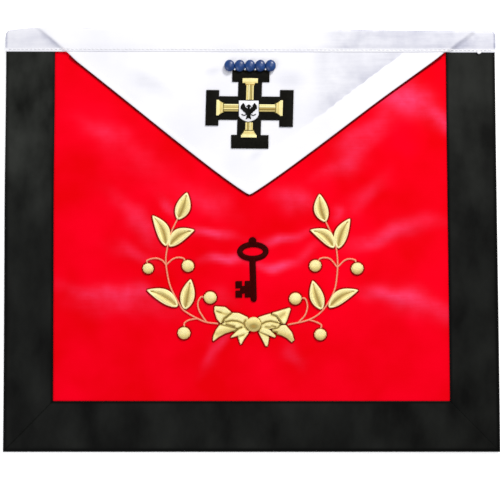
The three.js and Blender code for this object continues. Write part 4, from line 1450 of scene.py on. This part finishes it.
        black = Needlework(self.layers)
        middle = np.array([0, self.shield[1] * (0.5 - self.shield_foot)]) + self.badge_aside
        for side in (-1, 1):
            half = np.array(BIRD) * self.bird_size * np.array([side, 1]) + middle
            black.thread_fill(self.at(half), 90 - side * 35, on_shield, self.bird_rise, 0.5)
            toe = self.at(np.array(CLAW) * self.bird_size * np.array([side, 1]) + middle)
            black.stitch(toe[0], toe[1], on_shield, self.bird_rise, 0.6)
            black.stitch(toe[1], toe[2], on_shield, self.bird_rise, 0.6)
        return [
            white.piece("shield_stitching", WHITE_THREAD, Slot.WHITE_THREAD, ["cross_shield"]),
            black.piece("bird_stitching", BLACK_THREAD, Slot.BLACK_THREAD, ["shield_bird"]),
        ]

    def build(self) -> list[bpy.types.Object]:
        """Sews the cross, its gold arms and its badge."""
        foot = self.shield[1] * self.shield_foot
        head = self.shield[1] - foot
        beside, w, h = self.shield[0] / 2, self.width / 2, self.height / 2
        aside, lower = self.badge_aside
        arms = (
            ("cross_gold_up", 90, head + lower, h, self.top_cap_depth),
            ("cross_gold_down", -90, foot - lower, h, self.cap_depth),
            ("cross_gold_left", 180, beside - aside, w, self.cap_depth),
            ("cross_gold_right", 0, beside + aside, w, self.cap_depth),
        )
        return [self.black(), *(self.gold(*arm) for arm in arms), *self.badge()]


# Rows of coil across the flared end of a gold arm: how far out, how wide, and their tone.
# The first row's low tone is painted shade at the neck.
CAP_ROWS = (
    (0.0, 0.66, 0.16), (0.2, 0.66, 0.85), (0.4, 0.76, 0.68), (0.6, 0.87, 0.9), (0.8, 1.0, 1.0),
    (1.0, 1.0, 0.95),
)

# The same for the upper arm, whose end is a flat bar on a short neck.
# Here too the first row's low tone is painted shade at the neck.
FLAT_CAP_ROWS = (
    (0.0, 0.6, 0.3), (0.2, 0.62, 0.8), (0.4, 0.98, 0.75), (0.6, 0.98, 0.95), (0.8, 0.98, 1.0),
    (1.0, 0.98, 0.95),
)

# Right half of the bird's outline from its head to its tail, as shares of its size.
BIRD = (
    (0, 0.40), (0.07, 0.37), (0.15, 0.30), (0.06, 0.26), (0.07, 0.12), (0.20, 0.27), (0.33, 0.50),
    (0.47, 0.34), (0.49, 0.17), (0.34, 0.02), (0.17, -0.14), (0.10, -0.22), (0.15, -0.48),
    (0, -0.42),
)

# Its right claw.
CLAW = ((0.14, -0.20), (0.27, -0.27), (0.43, -0.19))


@dataclass
class Beads:
    """Five blue beads side by side over the cross, and silver seed beads between them."""

    layers: Layers
    cross: Cross
    count: int = 5
    pitch: float = 8.42
    size: tuple[float, float, float] = (8.7, 9.8, 4.8)
    middle: tuple[float, float] = (0.62, 142.0)
    seed: tuple[float, float, float] = (1.7, 1.7, 1.5)

    def bead(self, size: tuple[float, float, float]) -> bpy.types.Object:
        """A pressed bead, its thread hole running along x, shaped as a primitive in edit mode.

        Args:
            size: Its width, its length and how tall it stands, in mm.

        Returns:
            The bead, at the origin.
        """
        bpy.ops.object.select_all(action="DESELECT")
        bpy.ops.mesh.primitive_uv_sphere_add(segments=28, ring_count=16, radius=0.5)
        made = bpy.context.active_object
        made.rotation_euler = (0, math.pi / 2, 0)
        bpy.ops.object.transform_apply(rotation=True)
        bpy.ops.object.mode_set(mode="EDIT")
        bpy.ops.mesh.select_all(action="DESELECT")
        bpy.ops.mesh.select_mode(type="FACE")
        bpy.ops.object.mode_set(mode="OBJECT")
        for tile in made.data.polygons:
            tile.select = abs(tile.center.x) > 0.485
        bpy.ops.object.mode_set(mode="EDIT")
        bpy.ops.mesh.extrude_region_move()
        bpy.ops.transform.resize(value=(0.8, 0.85, 0.85))
        bpy.ops.object.mode_set(mode="OBJECT")
        made.scale = [side / 1000 for side in size]
        bpy.ops.object.transform_apply(scale=True)
        bpy.ops.object.shade_smooth()
        made.data.uv_layers[0].name = "UVMap"
        return made

    def put(
        self, model: bpy.types.Object, name: str, place: Array, finish: Finish,
        nodes: list[str],
    ) -> bpy.types.Object:
        """Copies the bead that was modelled to a place."""
        copy = bpy.data.objects.new(name, model.data.copy())
        copy.data.name = name
        copy.data.transform(Matrix.Translation(Vector(self.layers.settle(place))))
        copy.data.materials.clear()
        copy.data.materials.append(finish.material())
        bpy.context.scene.collection.objects.link(copy)
        return enter_piece(copy, nodes)

    def build(self) -> list[bpy.types.Object]:
        """Strings the beads along the top of the cross, with a seed bead below each gap."""
        across, up = self.middle
        model, small = self.bead(self.size), self.bead(self.seed)
        pieces = []
        for i in range(self.count):
            x = across + (i - (self.count - 1) / 2) * self.pitch
            z = float(self.layers.flap_top(x)) + self.layers.gap + self.size[2] / 2
            pieces.append(self.put(model, f"bead_{i + 1}_glass", np.array([x, up, z]), BLUE_GLASS,
                                   [f"bead_{i + 1}"]))
        for i in range(self.count - 1):
            x = across + (i - (self.count - 2) / 2) * self.pitch
            z = float(self.layers.flap_top(x)) + self.cross.rise + self.seed[2] / 2 + 0.6
            place = np.array([x + 0.1, up - self.size[1] * 0.32, z])
            pieces.append(
                self.put(small, f"seed_bead_{i + 1}", place, SILVER_GLASS, [])
            )
        for used in (model, small):
            bpy.data.objects.remove(used)
        return pieces


# Wreath


@dataclass(frozen=True)
class LeafCut:
    """A leaf: tip and base as shares of the wreath, width and curve as shares of its length."""

    name: str
    tip: tuple[float, float]
    base: tuple[float, float]
    width: float
    curve: float


@dataclass(frozen=True)
class BerryCut:
    """A berry and its stalk, in shares of the wreath, and its size as a share of the usual."""

    name: str
    at: tuple[float, float]
    size: float
    stalk: tuple[tuple[float, float], ...]


LEAVES = (
    LeafCut("leaf_left_1", (-0.619, 0.992), (-0.705, 0.630), 0.52, -0.02),
    LeafCut("leaf_left_2", (-0.948, 0.683), (-0.815, 0.270), 0.40, -0.05),
    LeafCut("leaf_left_3", (-0.548, 0.484), (-0.790, 0.270), 0.46, 0.06),
    LeafCut("leaf_left_4", (-1.002, -0.319), (-0.708, -0.537), 0.40, -0.04),
    LeafCut("leaf_left_5", (-0.586, -0.172), (-0.640, -0.575), 0.47, 0.0),
    LeafCut("leaf_right_1", (0.636, 0.972), (0.688, 0.595), 0.50, 0.03),
    LeafCut("leaf_right_2", (0.544, 0.486), (0.772, 0.248), 0.44, -0.07),
    LeafCut("leaf_right_3", (0.924, 0.640), (0.806, 0.238), 0.42, 0.04),
    LeafCut("leaf_right_4", (0.564, -0.190), (0.648, -0.578), 0.46, 0.015),
    LeafCut("leaf_right_5", (0.996, -0.322), (0.714, -0.550), 0.39, 0.05),
)

BERRIES = (
    BerryCut("berry_left_1", (-0.987, -0.031), 0.83,
             ((-0.819, 0.020), (-0.852, 0.076), (-0.903, 0.105), (-0.955, 0.100),
              (-0.998, 0.074))),
    BerryCut("berry_left_2", (-0.611, 0.003), 0.94,
             ((-0.814, 0.020), (-0.758, 0.092), (-0.705, 0.117), (-0.654, 0.106))),
    BerryCut("berry_left_3", (-0.402, -0.420), 0.97,
             ((-0.441, -0.741), (-0.505, -0.598), (-0.518, -0.490), (-0.490, -0.412))),
    BerryCut("berry_left_4", (-0.650, -0.894), 0.96,
             ((-0.527, -0.700), (-0.601, -0.719), (-0.645, -0.758))),
    BerryCut("berry_right_1", (0.591, 0.006), 0.93,
             ((0.800, -0.015), (0.738, 0.091), (0.683, 0.115), (0.636, 0.100))),
    BerryCut("berry_right_2", (0.987, -0.031), 0.94,
             ((0.805, -0.010), (0.866, 0.076), (0.920, 0.098), (0.968, 0.082))),
    BerryCut("berry_right_3", (0.401, -0.434), 0.95,
             ((0.431, -0.748), (0.490, -0.655), (0.514, -0.548), (0.505, -0.462),
              (0.486, -0.428))),
    BerryCut("berry_right_4", (0.634, -0.912), 0.92,
             ((0.529, -0.716), (0.590, -0.742), (0.642, -0.782))),
)

STEMS = {
    Side.LEFT: (
        (-0.707, 0.640), (-0.771, 0.444), (-0.808, 0.230), (-0.819, 0.039), (-0.781, -0.259),
        (-0.698, -0.493), (-0.640, -0.602), (-0.467, -0.735), (-0.330, -0.768),
    ),
    Side.RIGHT: (
        (0.690, 0.610), (0.773, 0.337), (0.799, 0.144), (0.798, -0.089), (0.764, -0.344),
        (0.659, -0.588), (0.529, -0.714), (0.330, -0.782),
    ),
}


@dataclass
class Wreath:
    """The laurel wreath: couched cord stems, padded leaves and berries."""

    layers: Layers
    centre: tuple[float, float] = (2.1, -22.5)
    width: float = 173
    height: float = 122
    leaf_rise: float = 2.2
    rim: float = 0.95
    berry_diameter: float = 10.5
    berry_rise: float = 3.4
    stem_diameter: float = 1.5
    rim_shadows: Needlework | None = None

    def at(self, share: tuple[float, float] | Array) -> Array:
        """A place from its shares of the wreath's half width and half height."""
        half = np.array([self.width / 2, self.height / 2])
        return np.array(self.centre) + np.asarray(share, float) * half

    def leaf(self, cut: LeafCut) -> bpy.types.Object:
        """One leaf: a raised rim of thick coil, slanted chips inside, an ochre vein, and painted shade.
        """
        work = Needlework(self.layers)
        base, tip = self.at(cut.base), self.at(cut.tip)
        forward = tip - base
        length = float(np.linalg.norm(forward))
        aside = np.array([-forward[1], forward[0]])
        low = self.layers.panel_top + 0.1

        def half_width(share: Array) -> Array:
            share = np.clip(share, 0, 1)
            return cut.width / 2 * length * np.sin(np.pi * share**0.82) ** 0.85

        def place(share: Array, across: Array) -> Array:
            share = np.asarray(share, float)[..., None]
            middle = base + forward * share + aside * cut.curve * np.sin(np.pi * share) * 2
            return middle + aside / length * np.asarray(across, float)[..., None]

        def height(share: Array, across: Array) -> Array:
            half = np.maximum(half_width(share), 0.3)
            out = np.abs(across) / half
            full = 0.45 + 0.55 * half / (cut.width / 2 * length)
            section = np.interp(out, [0, 0.2, 0.5, 0.7, 1], [0.45, 0.55, 0.98, 1.0, 0.5])
            return low + self.leaf_rise * full * section

        shares = np.linspace(0.02, 0.985, 34)
        half = half_width(shares)
        radius = np.clip(half * 0.8, 0.3, self.rim)
        for side in (-1, 1):
            across = side * np.maximum(half - radius, 0.05)
            high = low + radius + 0.25 * np.clip(half / 3, 0, 1)
            work.purl(raised(place(shares, across), high), radius, pitch=1.0, sides=8)
            for start in np.arange(0.07, 0.80, 0.8 * self.rim * 1.15 / length):
                reach = np.linspace(0, 1, 6)
                along = start + reach * 0.17
                limit = half_width(along) - 1.5 * self.rim
                wing = side * (0.25 + reach * (limit[-1] - 0.25))
                if limit[-1] < 0.7:
                    continue
                high = height(along, wing)
                # Painted shade: the chips darken towards the groove along the midrib.
                tone = np.interp(reach, [0, 0.3, 0.6, 1], [0.46, 0.56, 0.86, 1.0])
                work.purl(raised(place(along, wing), high), 0.48, 0.8, tone)
        vein = np.linspace(0.05, 0.94, 12)
        high = height(vein, 0 * vein) + 0.3
        # The vein is darkened as painted shade in the groove, to ochre in its lower part.
        tone = 0.4 - 0.1 * np.exp(-(((vein - 0.3) / 0.18) ** 2))
        work.purl(raised(place(vein, 0 * vein), high), 0.4, 0.8, tone)
        rim = np.linspace(0, 1, 32)
        for side in (-1, 1):
            self.rim_shadows.shadow_rim(place(rim, side * (half_width(rim) + 0.1)), low)
        # The padding under the leaf is coloured dark, as painted shade.
        bed = np.linspace(0.04, 0.96, 12)
        depth = (height(bed, 0 * bed) - low) / 2
        path = raised(place(bed, 0 * bed), low + depth)
        work.strand(path, half_width(bed) * 0.9, depth, sides=8, tone=0.2)
        return work.bullion(cut.name)

    def berry(self, cut: BerryCut, heading: float) -> bpy.types.Object:
        """One berry: coils side by side over a dome, inside a ring of coil."""
        work = Needlework(self.layers)
        centre = self.at(cut.at)
        radius = cut.size * self.berry_diameter / 2
        low = self.layers.panel_top + 0.1

        # Painted light: lighter on top and darker low down, as if lit from above.
        def lit(x: Array, y: Array) -> Array:
            up = (y - centre[1]) / radius
            return np.interp(up, [-1, -0.7, -0.4, 0, 0.5, 1], [0.9, 0.68, 0.78, 0.96, 1, 1])

        outline = centre + (radius - 0.1) * circle(36)
        work.purl_fill(
            outline, heading, self.layers.on_field, self.berry_rise, 0.62, radius * 0.92, lit
        )
        around = circle(36, closed=True)
        # The ring round its foot is a little darker, as painted shade.
        work.purl(raised(centre + (radius - 0.55) * around, low + 0.5), 0.55, 0.8, 0.66)
        self.rim_shadows.shadow_rim(centre + around * (radius + 0.1), low)
        return work.bullion(cut.name, 0.9)

    def stem(self, side: Side) -> bpy.types.Object:
        """One stem with its stalks, couched to the satin."""
        work = Needlework(self.layers)
        name = f"_{side.name.lower()}"
        lines = [np.array([self.at(p) for p in STEMS[side]])]
        for cut in BERRIES:
            if name in cut.name:
                centre, crest = self.at(cut.at), self.at(cut.stalk[-1])
                away = (crest - centre) / np.linalg.norm(crest - centre)
                meets = centre + away * (cut.size * self.berry_diameter / 2 + 0.3)
                lines.append(np.array([*(self.at(p) for p in cut.stalk), meets]))
        low = self.layers.panel_top + self.stem_diameter / 2 + 0.05
        for line in lines:
            work.twist(raised(curve_through(line), low), self.stem_diameter / 2)
        return work.piece("stem" + name + "_cord", STEM_WIRE, Slot.STEM_CORD, ["stem" + name])

    def build(self) -> list[bpy.types.Object]:
        """Lays the stems, then the leaves and berries with a painted shadow rim round each."""
        self.rim_shadows = Needlework(self.layers)
        stems = [self.stem(side) for side in Side]
        leaves = [self.leaf(cut) for cut in LEAVES]
        headings = (70, 60, 80, 75, 110, 105, 100, 95)
        berries = [self.berry(cut, heading) for cut, heading in zip(BERRIES, headings)]
        edge_shade = self.rim_shadows.piece("wreath_rim_shadows", SHADOW_RIM_THREAD, Slot.BLACK_THREAD, [])
        return [*stems, *leaves, *berries, edge_shade]


# The bow's pieces: outlines as shares of the bow's half width from the knot's centre, and the
# heading of their coils in degrees.
BOW = {
    "bow_loop_left": (78, (
        (-0.54, 0.29), (-0.36, 0.28), (-0.15, 0.18), (-0.12, 0.04), (-0.22, 0.01), (-0.36, 0.07),
        (-0.52, 0.10), (-0.69, 0.07), (-0.76, 0.04))),
    "bow_loop_right": (102, (
        (0.12, 0.18), (0.30, 0.24), (0.42, 0.27), (0.54, 0.20), (0.67, 0.01), (0.57, 0.05),
        (0.39, 0.08), (0.22, 0.02), (0.12, 0.04))),
    "bow_fold_left": (45, (
        (-0.97, 0.45), (-0.70, 0.43), (-0.54, 0.30), (-0.77, 0.04), (-0.82, 0.02), (-0.91, 0.13),
        (-0.97, 0.31))),
    "bow_fold_right": (135, (
        (0.44, 0.28), (0.87, 0.41), (0.92, 0.37), (0.82, 0.08), (0.78, 0.01), (0.68, 0.01),
        (0.55, 0.20))),
    "bow_streamer_left": (120, (
        (-0.36, -0.11), (-0.21, -0.07), (-0.10, -0.17), (-0.18, -0.25), (-0.36, -0.28),
        (-0.55, -0.33), (-0.57, -0.31), (-0.43, -0.17))),
    "bow_streamer_right": (60, (
        (0.12, -0.11), (0.23, -0.07), (0.40, -0.13), (0.55, -0.28), (0.51, -0.33), (0.39, -0.28),
        (0.15, -0.19))),
    "bow_band_left": (95, (
        (-0.69, 0.07), (-0.52, 0.10), (-0.36, 0.07), (-0.15, 0.01), (-0.15, -0.09),
        (-0.36, -0.10), (-0.55, -0.07), (-0.79, -0.01), (-0.76, 0.03))),
    "bow_band_right": (85, (
        (0.15, 0.01), (0.39, 0.08), (0.57, 0.05), (0.68, -0.01), (0.58, -0.09), (0.39, -0.12),
        (0.15, -0.09))),
    "bow_tail_left": (115, (
        (-0.84, -0.01), (-0.75, -0.02), (-0.55, -0.07), (-0.40, -0.10), (-0.44, -0.15),
        (-0.57, -0.19), (-0.70, -0.23), (-0.85, -0.31), (-1.01, -0.43), (-1.00, -0.29),
        (-0.93, -0.13))),
    "bow_tail_right": (65, (
        (0.68, -0.02), (0.79, -0.01), (0.94, -0.19), (1.00, -0.38), (0.94, -0.45), (0.81, -0.34),
        (0.67, -0.27), (0.49, -0.19), (0.43, -0.13), (0.58, -0.10))),
    "bow_streamer_middle": (150, (
        (-0.10, -0.19), (-0.24, -0.38), (-0.30, -0.49), (-0.33, -0.49), (-0.38, -0.35),
        (-0.40, -0.28), (-0.30, -0.26))),
    "bow_streamer_end": (30, (
        (0.10, -0.17), (0.22, -0.22), (0.38, -0.30), (0.37, -0.41), (0.34, -0.54), (0.29, -0.54),
        (0.21, -0.38))),
}


@dataclass(frozen=True)
class Crease:
    """A crease in the bow: its line as shares of the bow's half width, its depth and half width."""

    line: tuple[tuple[float, float], ...]
    deep: float
    wide: float = 0.03


# Each crease dents the coils over it and darkens them as painted shade.
CREASES = (
    Crease(((-0.90, 0.32), (-0.80, 0.285)), 0.75),
    Crease(((-0.80, 0.285), (-0.70, 0.25), (-0.60, 0.25)), 0.45),
    Crease(((-0.55, 0.27), (-0.64, 0.21), (-0.73, 0.14), (-0.77, 0.06)), 0.9),
    Crease(((-0.68, 0.06), (-0.55, 0.09), (-0.40, 0.08), (-0.30, 0.04), (-0.21, -0.02)), 0.85),
    Crease(((-0.67, 0.0), (-0.60, -0.02), (-0.48, -0.05)), 0.85),
    Crease(((-0.49, -0.18), (-0.39, -0.11), (-0.30, -0.07)), 0.9),
    Crease(((-0.90, -0.24), (-0.70, -0.19), (-0.50, -0.15)), 0.38, 0.08),
    Crease(((-0.20, 0.10), (-0.24, 0.03), (-0.21, -0.06), (-0.15, -0.13)), 0.8),
    Crease(((-0.38, -0.31), (-0.24, -0.26)), 0.5),
    Crease(((0.75, 0.25), (0.66, 0.18)), 0.45, 0.06),
    Crease(((0.45, 0.24), (0.57, 0.20), (0.65, 0.10), (0.70, 0.01)), 0.9),
    Crease(((0.19, 0.0), (0.30, 0.06), (0.42, 0.08), (0.58, 0.04)), 0.8),
    Crease(((0.30, -0.06), (0.41, -0.07)), 0.6),
    Crease(((0.45, -0.04), (0.54, -0.06)), 0.7),
    Crease(((0.46, -0.17), (0.58, -0.19)), 0.85),
    Crease(((0.13, 0.12), (0.19, 0.01), (0.16, -0.10), (0.10, -0.16)), 0.8),
    Crease(((0.13, -0.18), (0.24, -0.24), (0.37, -0.30)), 0.45),
    Crease(((0.57, -0.23), (0.81, -0.30), (0.93, -0.37)), 0.38, 0.08),
    Crease(((-0.84, 0.0), (-0.70, -0.03), (-0.55, -0.08), (-0.42, -0.11)), 0.5),
    Crease(((0.66, 0.0), (0.60, -0.09), (0.47, -0.12)), 0.5),
)


@dataclass
class Bow:
    """The bow that ties the wreath, of coils laid across each run of its ribbon."""

    layers: Layers
    wreath: Wreath
    centre: tuple[float, float] = (0.006, -0.777)
    width: float = 66
    rise: float = 2.2
    knot_diameter: float = 12.2
    knot_rise: float = 3.2

    def creased(self, x: Array, y: Array) -> Array:
        """How deep the bow is creased at a place, from 0 to 1."""
        share = (np.column_stack([x, y]) - self.wreath.at(self.centre)) / (self.width / 2)
        deepest = np.zeros(len(share))
        for crease in CREASES:
            line = evenly(np.array(crease.line), 0.02)
            away = np.linalg.norm(share[:, None] - line[None], axis=2).min(1)
            deepest = np.maximum(deepest, crease.deep * np.exp(-((away / crease.wide) ** 2)))
        return deepest

    def knot_tone(self, x: Array, y: Array) -> Array:
        """The knot is pale, with a round ochre painted shade in its lower half."""
        across, up = (np.stack([x, y]) - self.wreath.at(self.centre)[:, None]) / self.knot_diameter
        return 0.95 - 0.62 * np.exp(-((across / 0.45) ** 2) - ((up + 0.13) / 0.28) ** 2)

    def build(self) -> list[bpy.types.Object]:
        """Fills each run of ribbon, then the knot over them."""
        middle = self.wreath.at(self.centre)
        pieces = []

        def pale(x: Array, y: Array) -> Array:
            return 0 * x + 1.0

        # A dark red thread round each run is the painted shadow at its foot.
        rim_shadows = Needlework(self.layers)
        for name, (heading, outline) in BOW.items():
            work = Needlework(self.layers)
            corners = middle + np.array(outline) * self.width / 2
            work.purl_fill(corners, heading, self.layers.on_field, self.rise, 0.5, 1.6, pale,
                           self.creased)
            closed = evenly(np.concatenate([corners, corners[:1]]), 1.0)
            rim_shadows.shadow_rim(closed, self.layers.panel_top + 0.1)
            pieces.append(work.bullion(name))
        # Dark coils along each crease, under the runs: painted shade.
        under = Needlework(self.layers)
        for crease in CREASES:
            line = evenly(middle + np.array(crease.line) * self.width / 2, 0.6)
            under.purl(raised(line, self.layers.panel_top + 0.85), 0.75, tone=0.2)
        pieces.append(under.piece("bow_crease_shade_bullion", GOLD_WIRE, Slot.GOLD_THREAD, []))
        pieces.append(rim_shadows.piece("bow_rim_shadows", SHADOW_RIM_THREAD, Slot.BLACK_THREAD, []))
        ring = middle + self.knot_diameter / 2 * circle(24)
        work = Needlework(self.layers)
        work.purl_fill(ring, 90, self.layers.on_field, self.knot_rise, 0.6, 3.5, self.knot_tone)
        return [*pieces, work.bullion("bow_knot", 0.9)]


@dataclass
class Key:
    """The black key in satin stitch: ring, knob, shank and notched bit."""

    layers: Layers
    wreath: Wreath
    place: tuple[float, float] = (0.002, 0.197)
    tilt: float = 1.4
    ring: tuple[float, float] = (25.4, 15.8)
    ring_wall: float = 4.2
    length: float = 52.8
    shank: float = 4.8
    shank_aside: float = -0.5
    knob: float = 6.2
    bit: tuple[float, float] = (12.0, 13.2)
    bit_from_end: float = 3.9
    notch: float = 2.1
    rise: float = 1.3

    def laid(self, points: list | Array) -> Array:
        """Points given from the ring's middle, in the apron's own mm."""
        return turned(np.asarray(points, float), self.tilt) + self.wreath.at(self.place)

    def build(self) -> list[bpy.types.Object]:
        """Stitches the key."""
        work = Needlework(self.layers)
        base = self.layers.on_field
        rx, ry = self.ring[0] / 2, self.ring[1] / 2
        for out in circle(75):
            inner = out * np.array([rx - self.ring_wall, ry - self.ring_wall])
            ends = self.laid([inner, out * np.array([rx, ry])])
            work.stitch(ends[0], ends[1], base, self.rise, 0.8)
        knob = circle(18) * self.knob / 2 + np.array([0, ry + self.knob * 0.1])
        work.thread_fill(self.laid(knob), 90, base, self.rise + 0.4)
        half = self.shank / 2
        end = self.length - ry - self.knob * 0.6
        foot = self.bit_from_end - end
        shank = [[-half, -ry + 1.5], [half, -ry + 1.5], [half, half - end], [half * 0.7, -end + 0.7],
                 [0, -end], [-half * 0.7, -end + 0.7], [-half, half - end]]
        aside = np.array([self.shank_aside, 0])
        work.thread_fill(self.laid(np.array(shank) + aside), 12, base, self.rise)
        bit = self.bit_outline(foot, half) + aside
        work.thread_fill(self.laid(bit), 90, base, self.rise - 0.1)
        return [work.piece("key_stitching", KEY_THREAD, Slot.BLACK_THREAD, ["key"], fill=0.8)]

    def bit_outline(self, foot: float, half: float) -> Array:
        """The bit's outline with its three notches."""
        wide, high = self.bit
        out, head = -half - wide, foot + high
        middle, side = -half - wide * 0.48, self.notch / 2
        deep, shallow = high * 0.3, high * 0.25
        across, level = out + wide * 0.3, foot + high / 2
        return np.array([
            [-half + 0.6, foot], [-half + 0.6, head], [middle + side, head],
            [middle + side, head - deep], [middle - side, head - deep], [middle - side, head],
            [out, head], [out, level + side], [across, level + side], [across, level - side],
            [out, level - side], [out, foot], [middle - side, foot], [middle - side, foot + shallow],
            [middle + side, foot + shallow], [middle + side, foot],
        ])


# Stage


@dataclass(frozen=True)
class Lamp:
    """A soft area light: place and target in metres, size, power and colour."""

    name: str
    place: tuple[float, float, float]
    size: tuple[float, float]
    power: float
    colour: str = "#ffffff"
    target: tuple[float, float, float] = (0.0, 0.0, 0.0)


@dataclass
class Stage:
    """White paper under the apron, soft lamps from the upper right, and the camera."""

    distance: float = 0.9
    elevation: float = 87.2
    lens: float = 79.245
    floor_drop: float = 0.0002
    target: tuple[float, float, float] = (0.0, -0.0074, 0.004)
    sky: str = "#ffffff"
    sky_power: float = 0.36
    lamps: tuple[Lamp, ...] = (
        Lamp("key_lamp", (0.55, 1.05, 1.0), (0.35, 0.35), 15.2, "#fffdf8"),
        Lamp("overhead_lamp", (0.28, 0.42, 1.5), (0.5, 0.35), 3.4),
        Lamp("fill_lamp", (-1.2, -0.9, 1.3), (1.2, 1.2), 14.0, "#f6f8ff"),
    )

    def build(self) -> None:
        """Makes the floor, the lamps and the camera."""
        bpy.ops.object.select_all(action="DESELECT")
        bpy.ops.mesh.primitive_plane_add(size=8)
        floor = bpy.context.active_object
        floor.name = "floor"
        floor.data.transform(Matrix.Translation((0, 0, -self.floor_drop)))
        floor.data.materials.append(WHITE_PAPER.material())
        for lamp in self.lamps:
            data = bpy.data.lights.new(lamp.name, "AREA")
            data.shape = "RECTANGLE"
            data.size, data.size_y = lamp.size
            data.energy = lamp.power
            data.color = linear(lamp.colour)[:3]
            self.aim(bpy.data.objects.new(lamp.name, data), lamp.place, lamp.target)
        world = bpy.data.worlds.new("studio")
        world.use_nodes = True
        sky = world.node_tree.nodes["Background"]
        sky.inputs["Color"].default_value = linear(self.sky)
        sky.inputs["Strength"].default_value = self.sky_power
        bpy.context.scene.world = world
        data = bpy.data.cameras.new("camera")
        data.lens = self.lens
        data.sensor_width = 36
        camera = bpy.data.objects.new("camera", data)
        slope = math.radians(self.elevation)
        away = np.array([0, -math.cos(slope), math.sin(slope)]) * self.distance
        self.aim(camera, tuple(np.array(self.target) + away), self.target)
        bpy.context.scene.camera = camera
        bpy.context.scene.view_settings.view_transform = "Standard"

    def aim(self, thing: bpy.types.Object, place: tuple, target: tuple) -> None:
        """Puts a lamp or the camera in its place, looking at its target, with +Y upward."""
        bpy.context.scene.collection.objects.link(thing)
        thing.location = place
        look = Vector(target) - Vector(place)
        thing.rotation_euler = look.to_track_quat("-Z", "Y").to_euler()


def main() -> None:
    """Builds every sub-assembly and the stage, and logs each piece's face count."""
    logging.basicConfig(level=logging.INFO, format="%(message)s")
    layers = Layers()
    cross = Cross(layers)
    wreath = Wreath(layers)
    parts = (
        Field(layers), Border(layers), Flap(layers), Waistband(layers), cross,
        Beads(layers, cross), wreath, Bow(layers, wreath), Key(layers, wreath),
    )
    for part in parts:
        for piece in part.build():
            LOG.info("%s: %d faces", piece.name, len(piece.data.polygons))
    Stage().build()


if __name__ == "__main__":
    main()
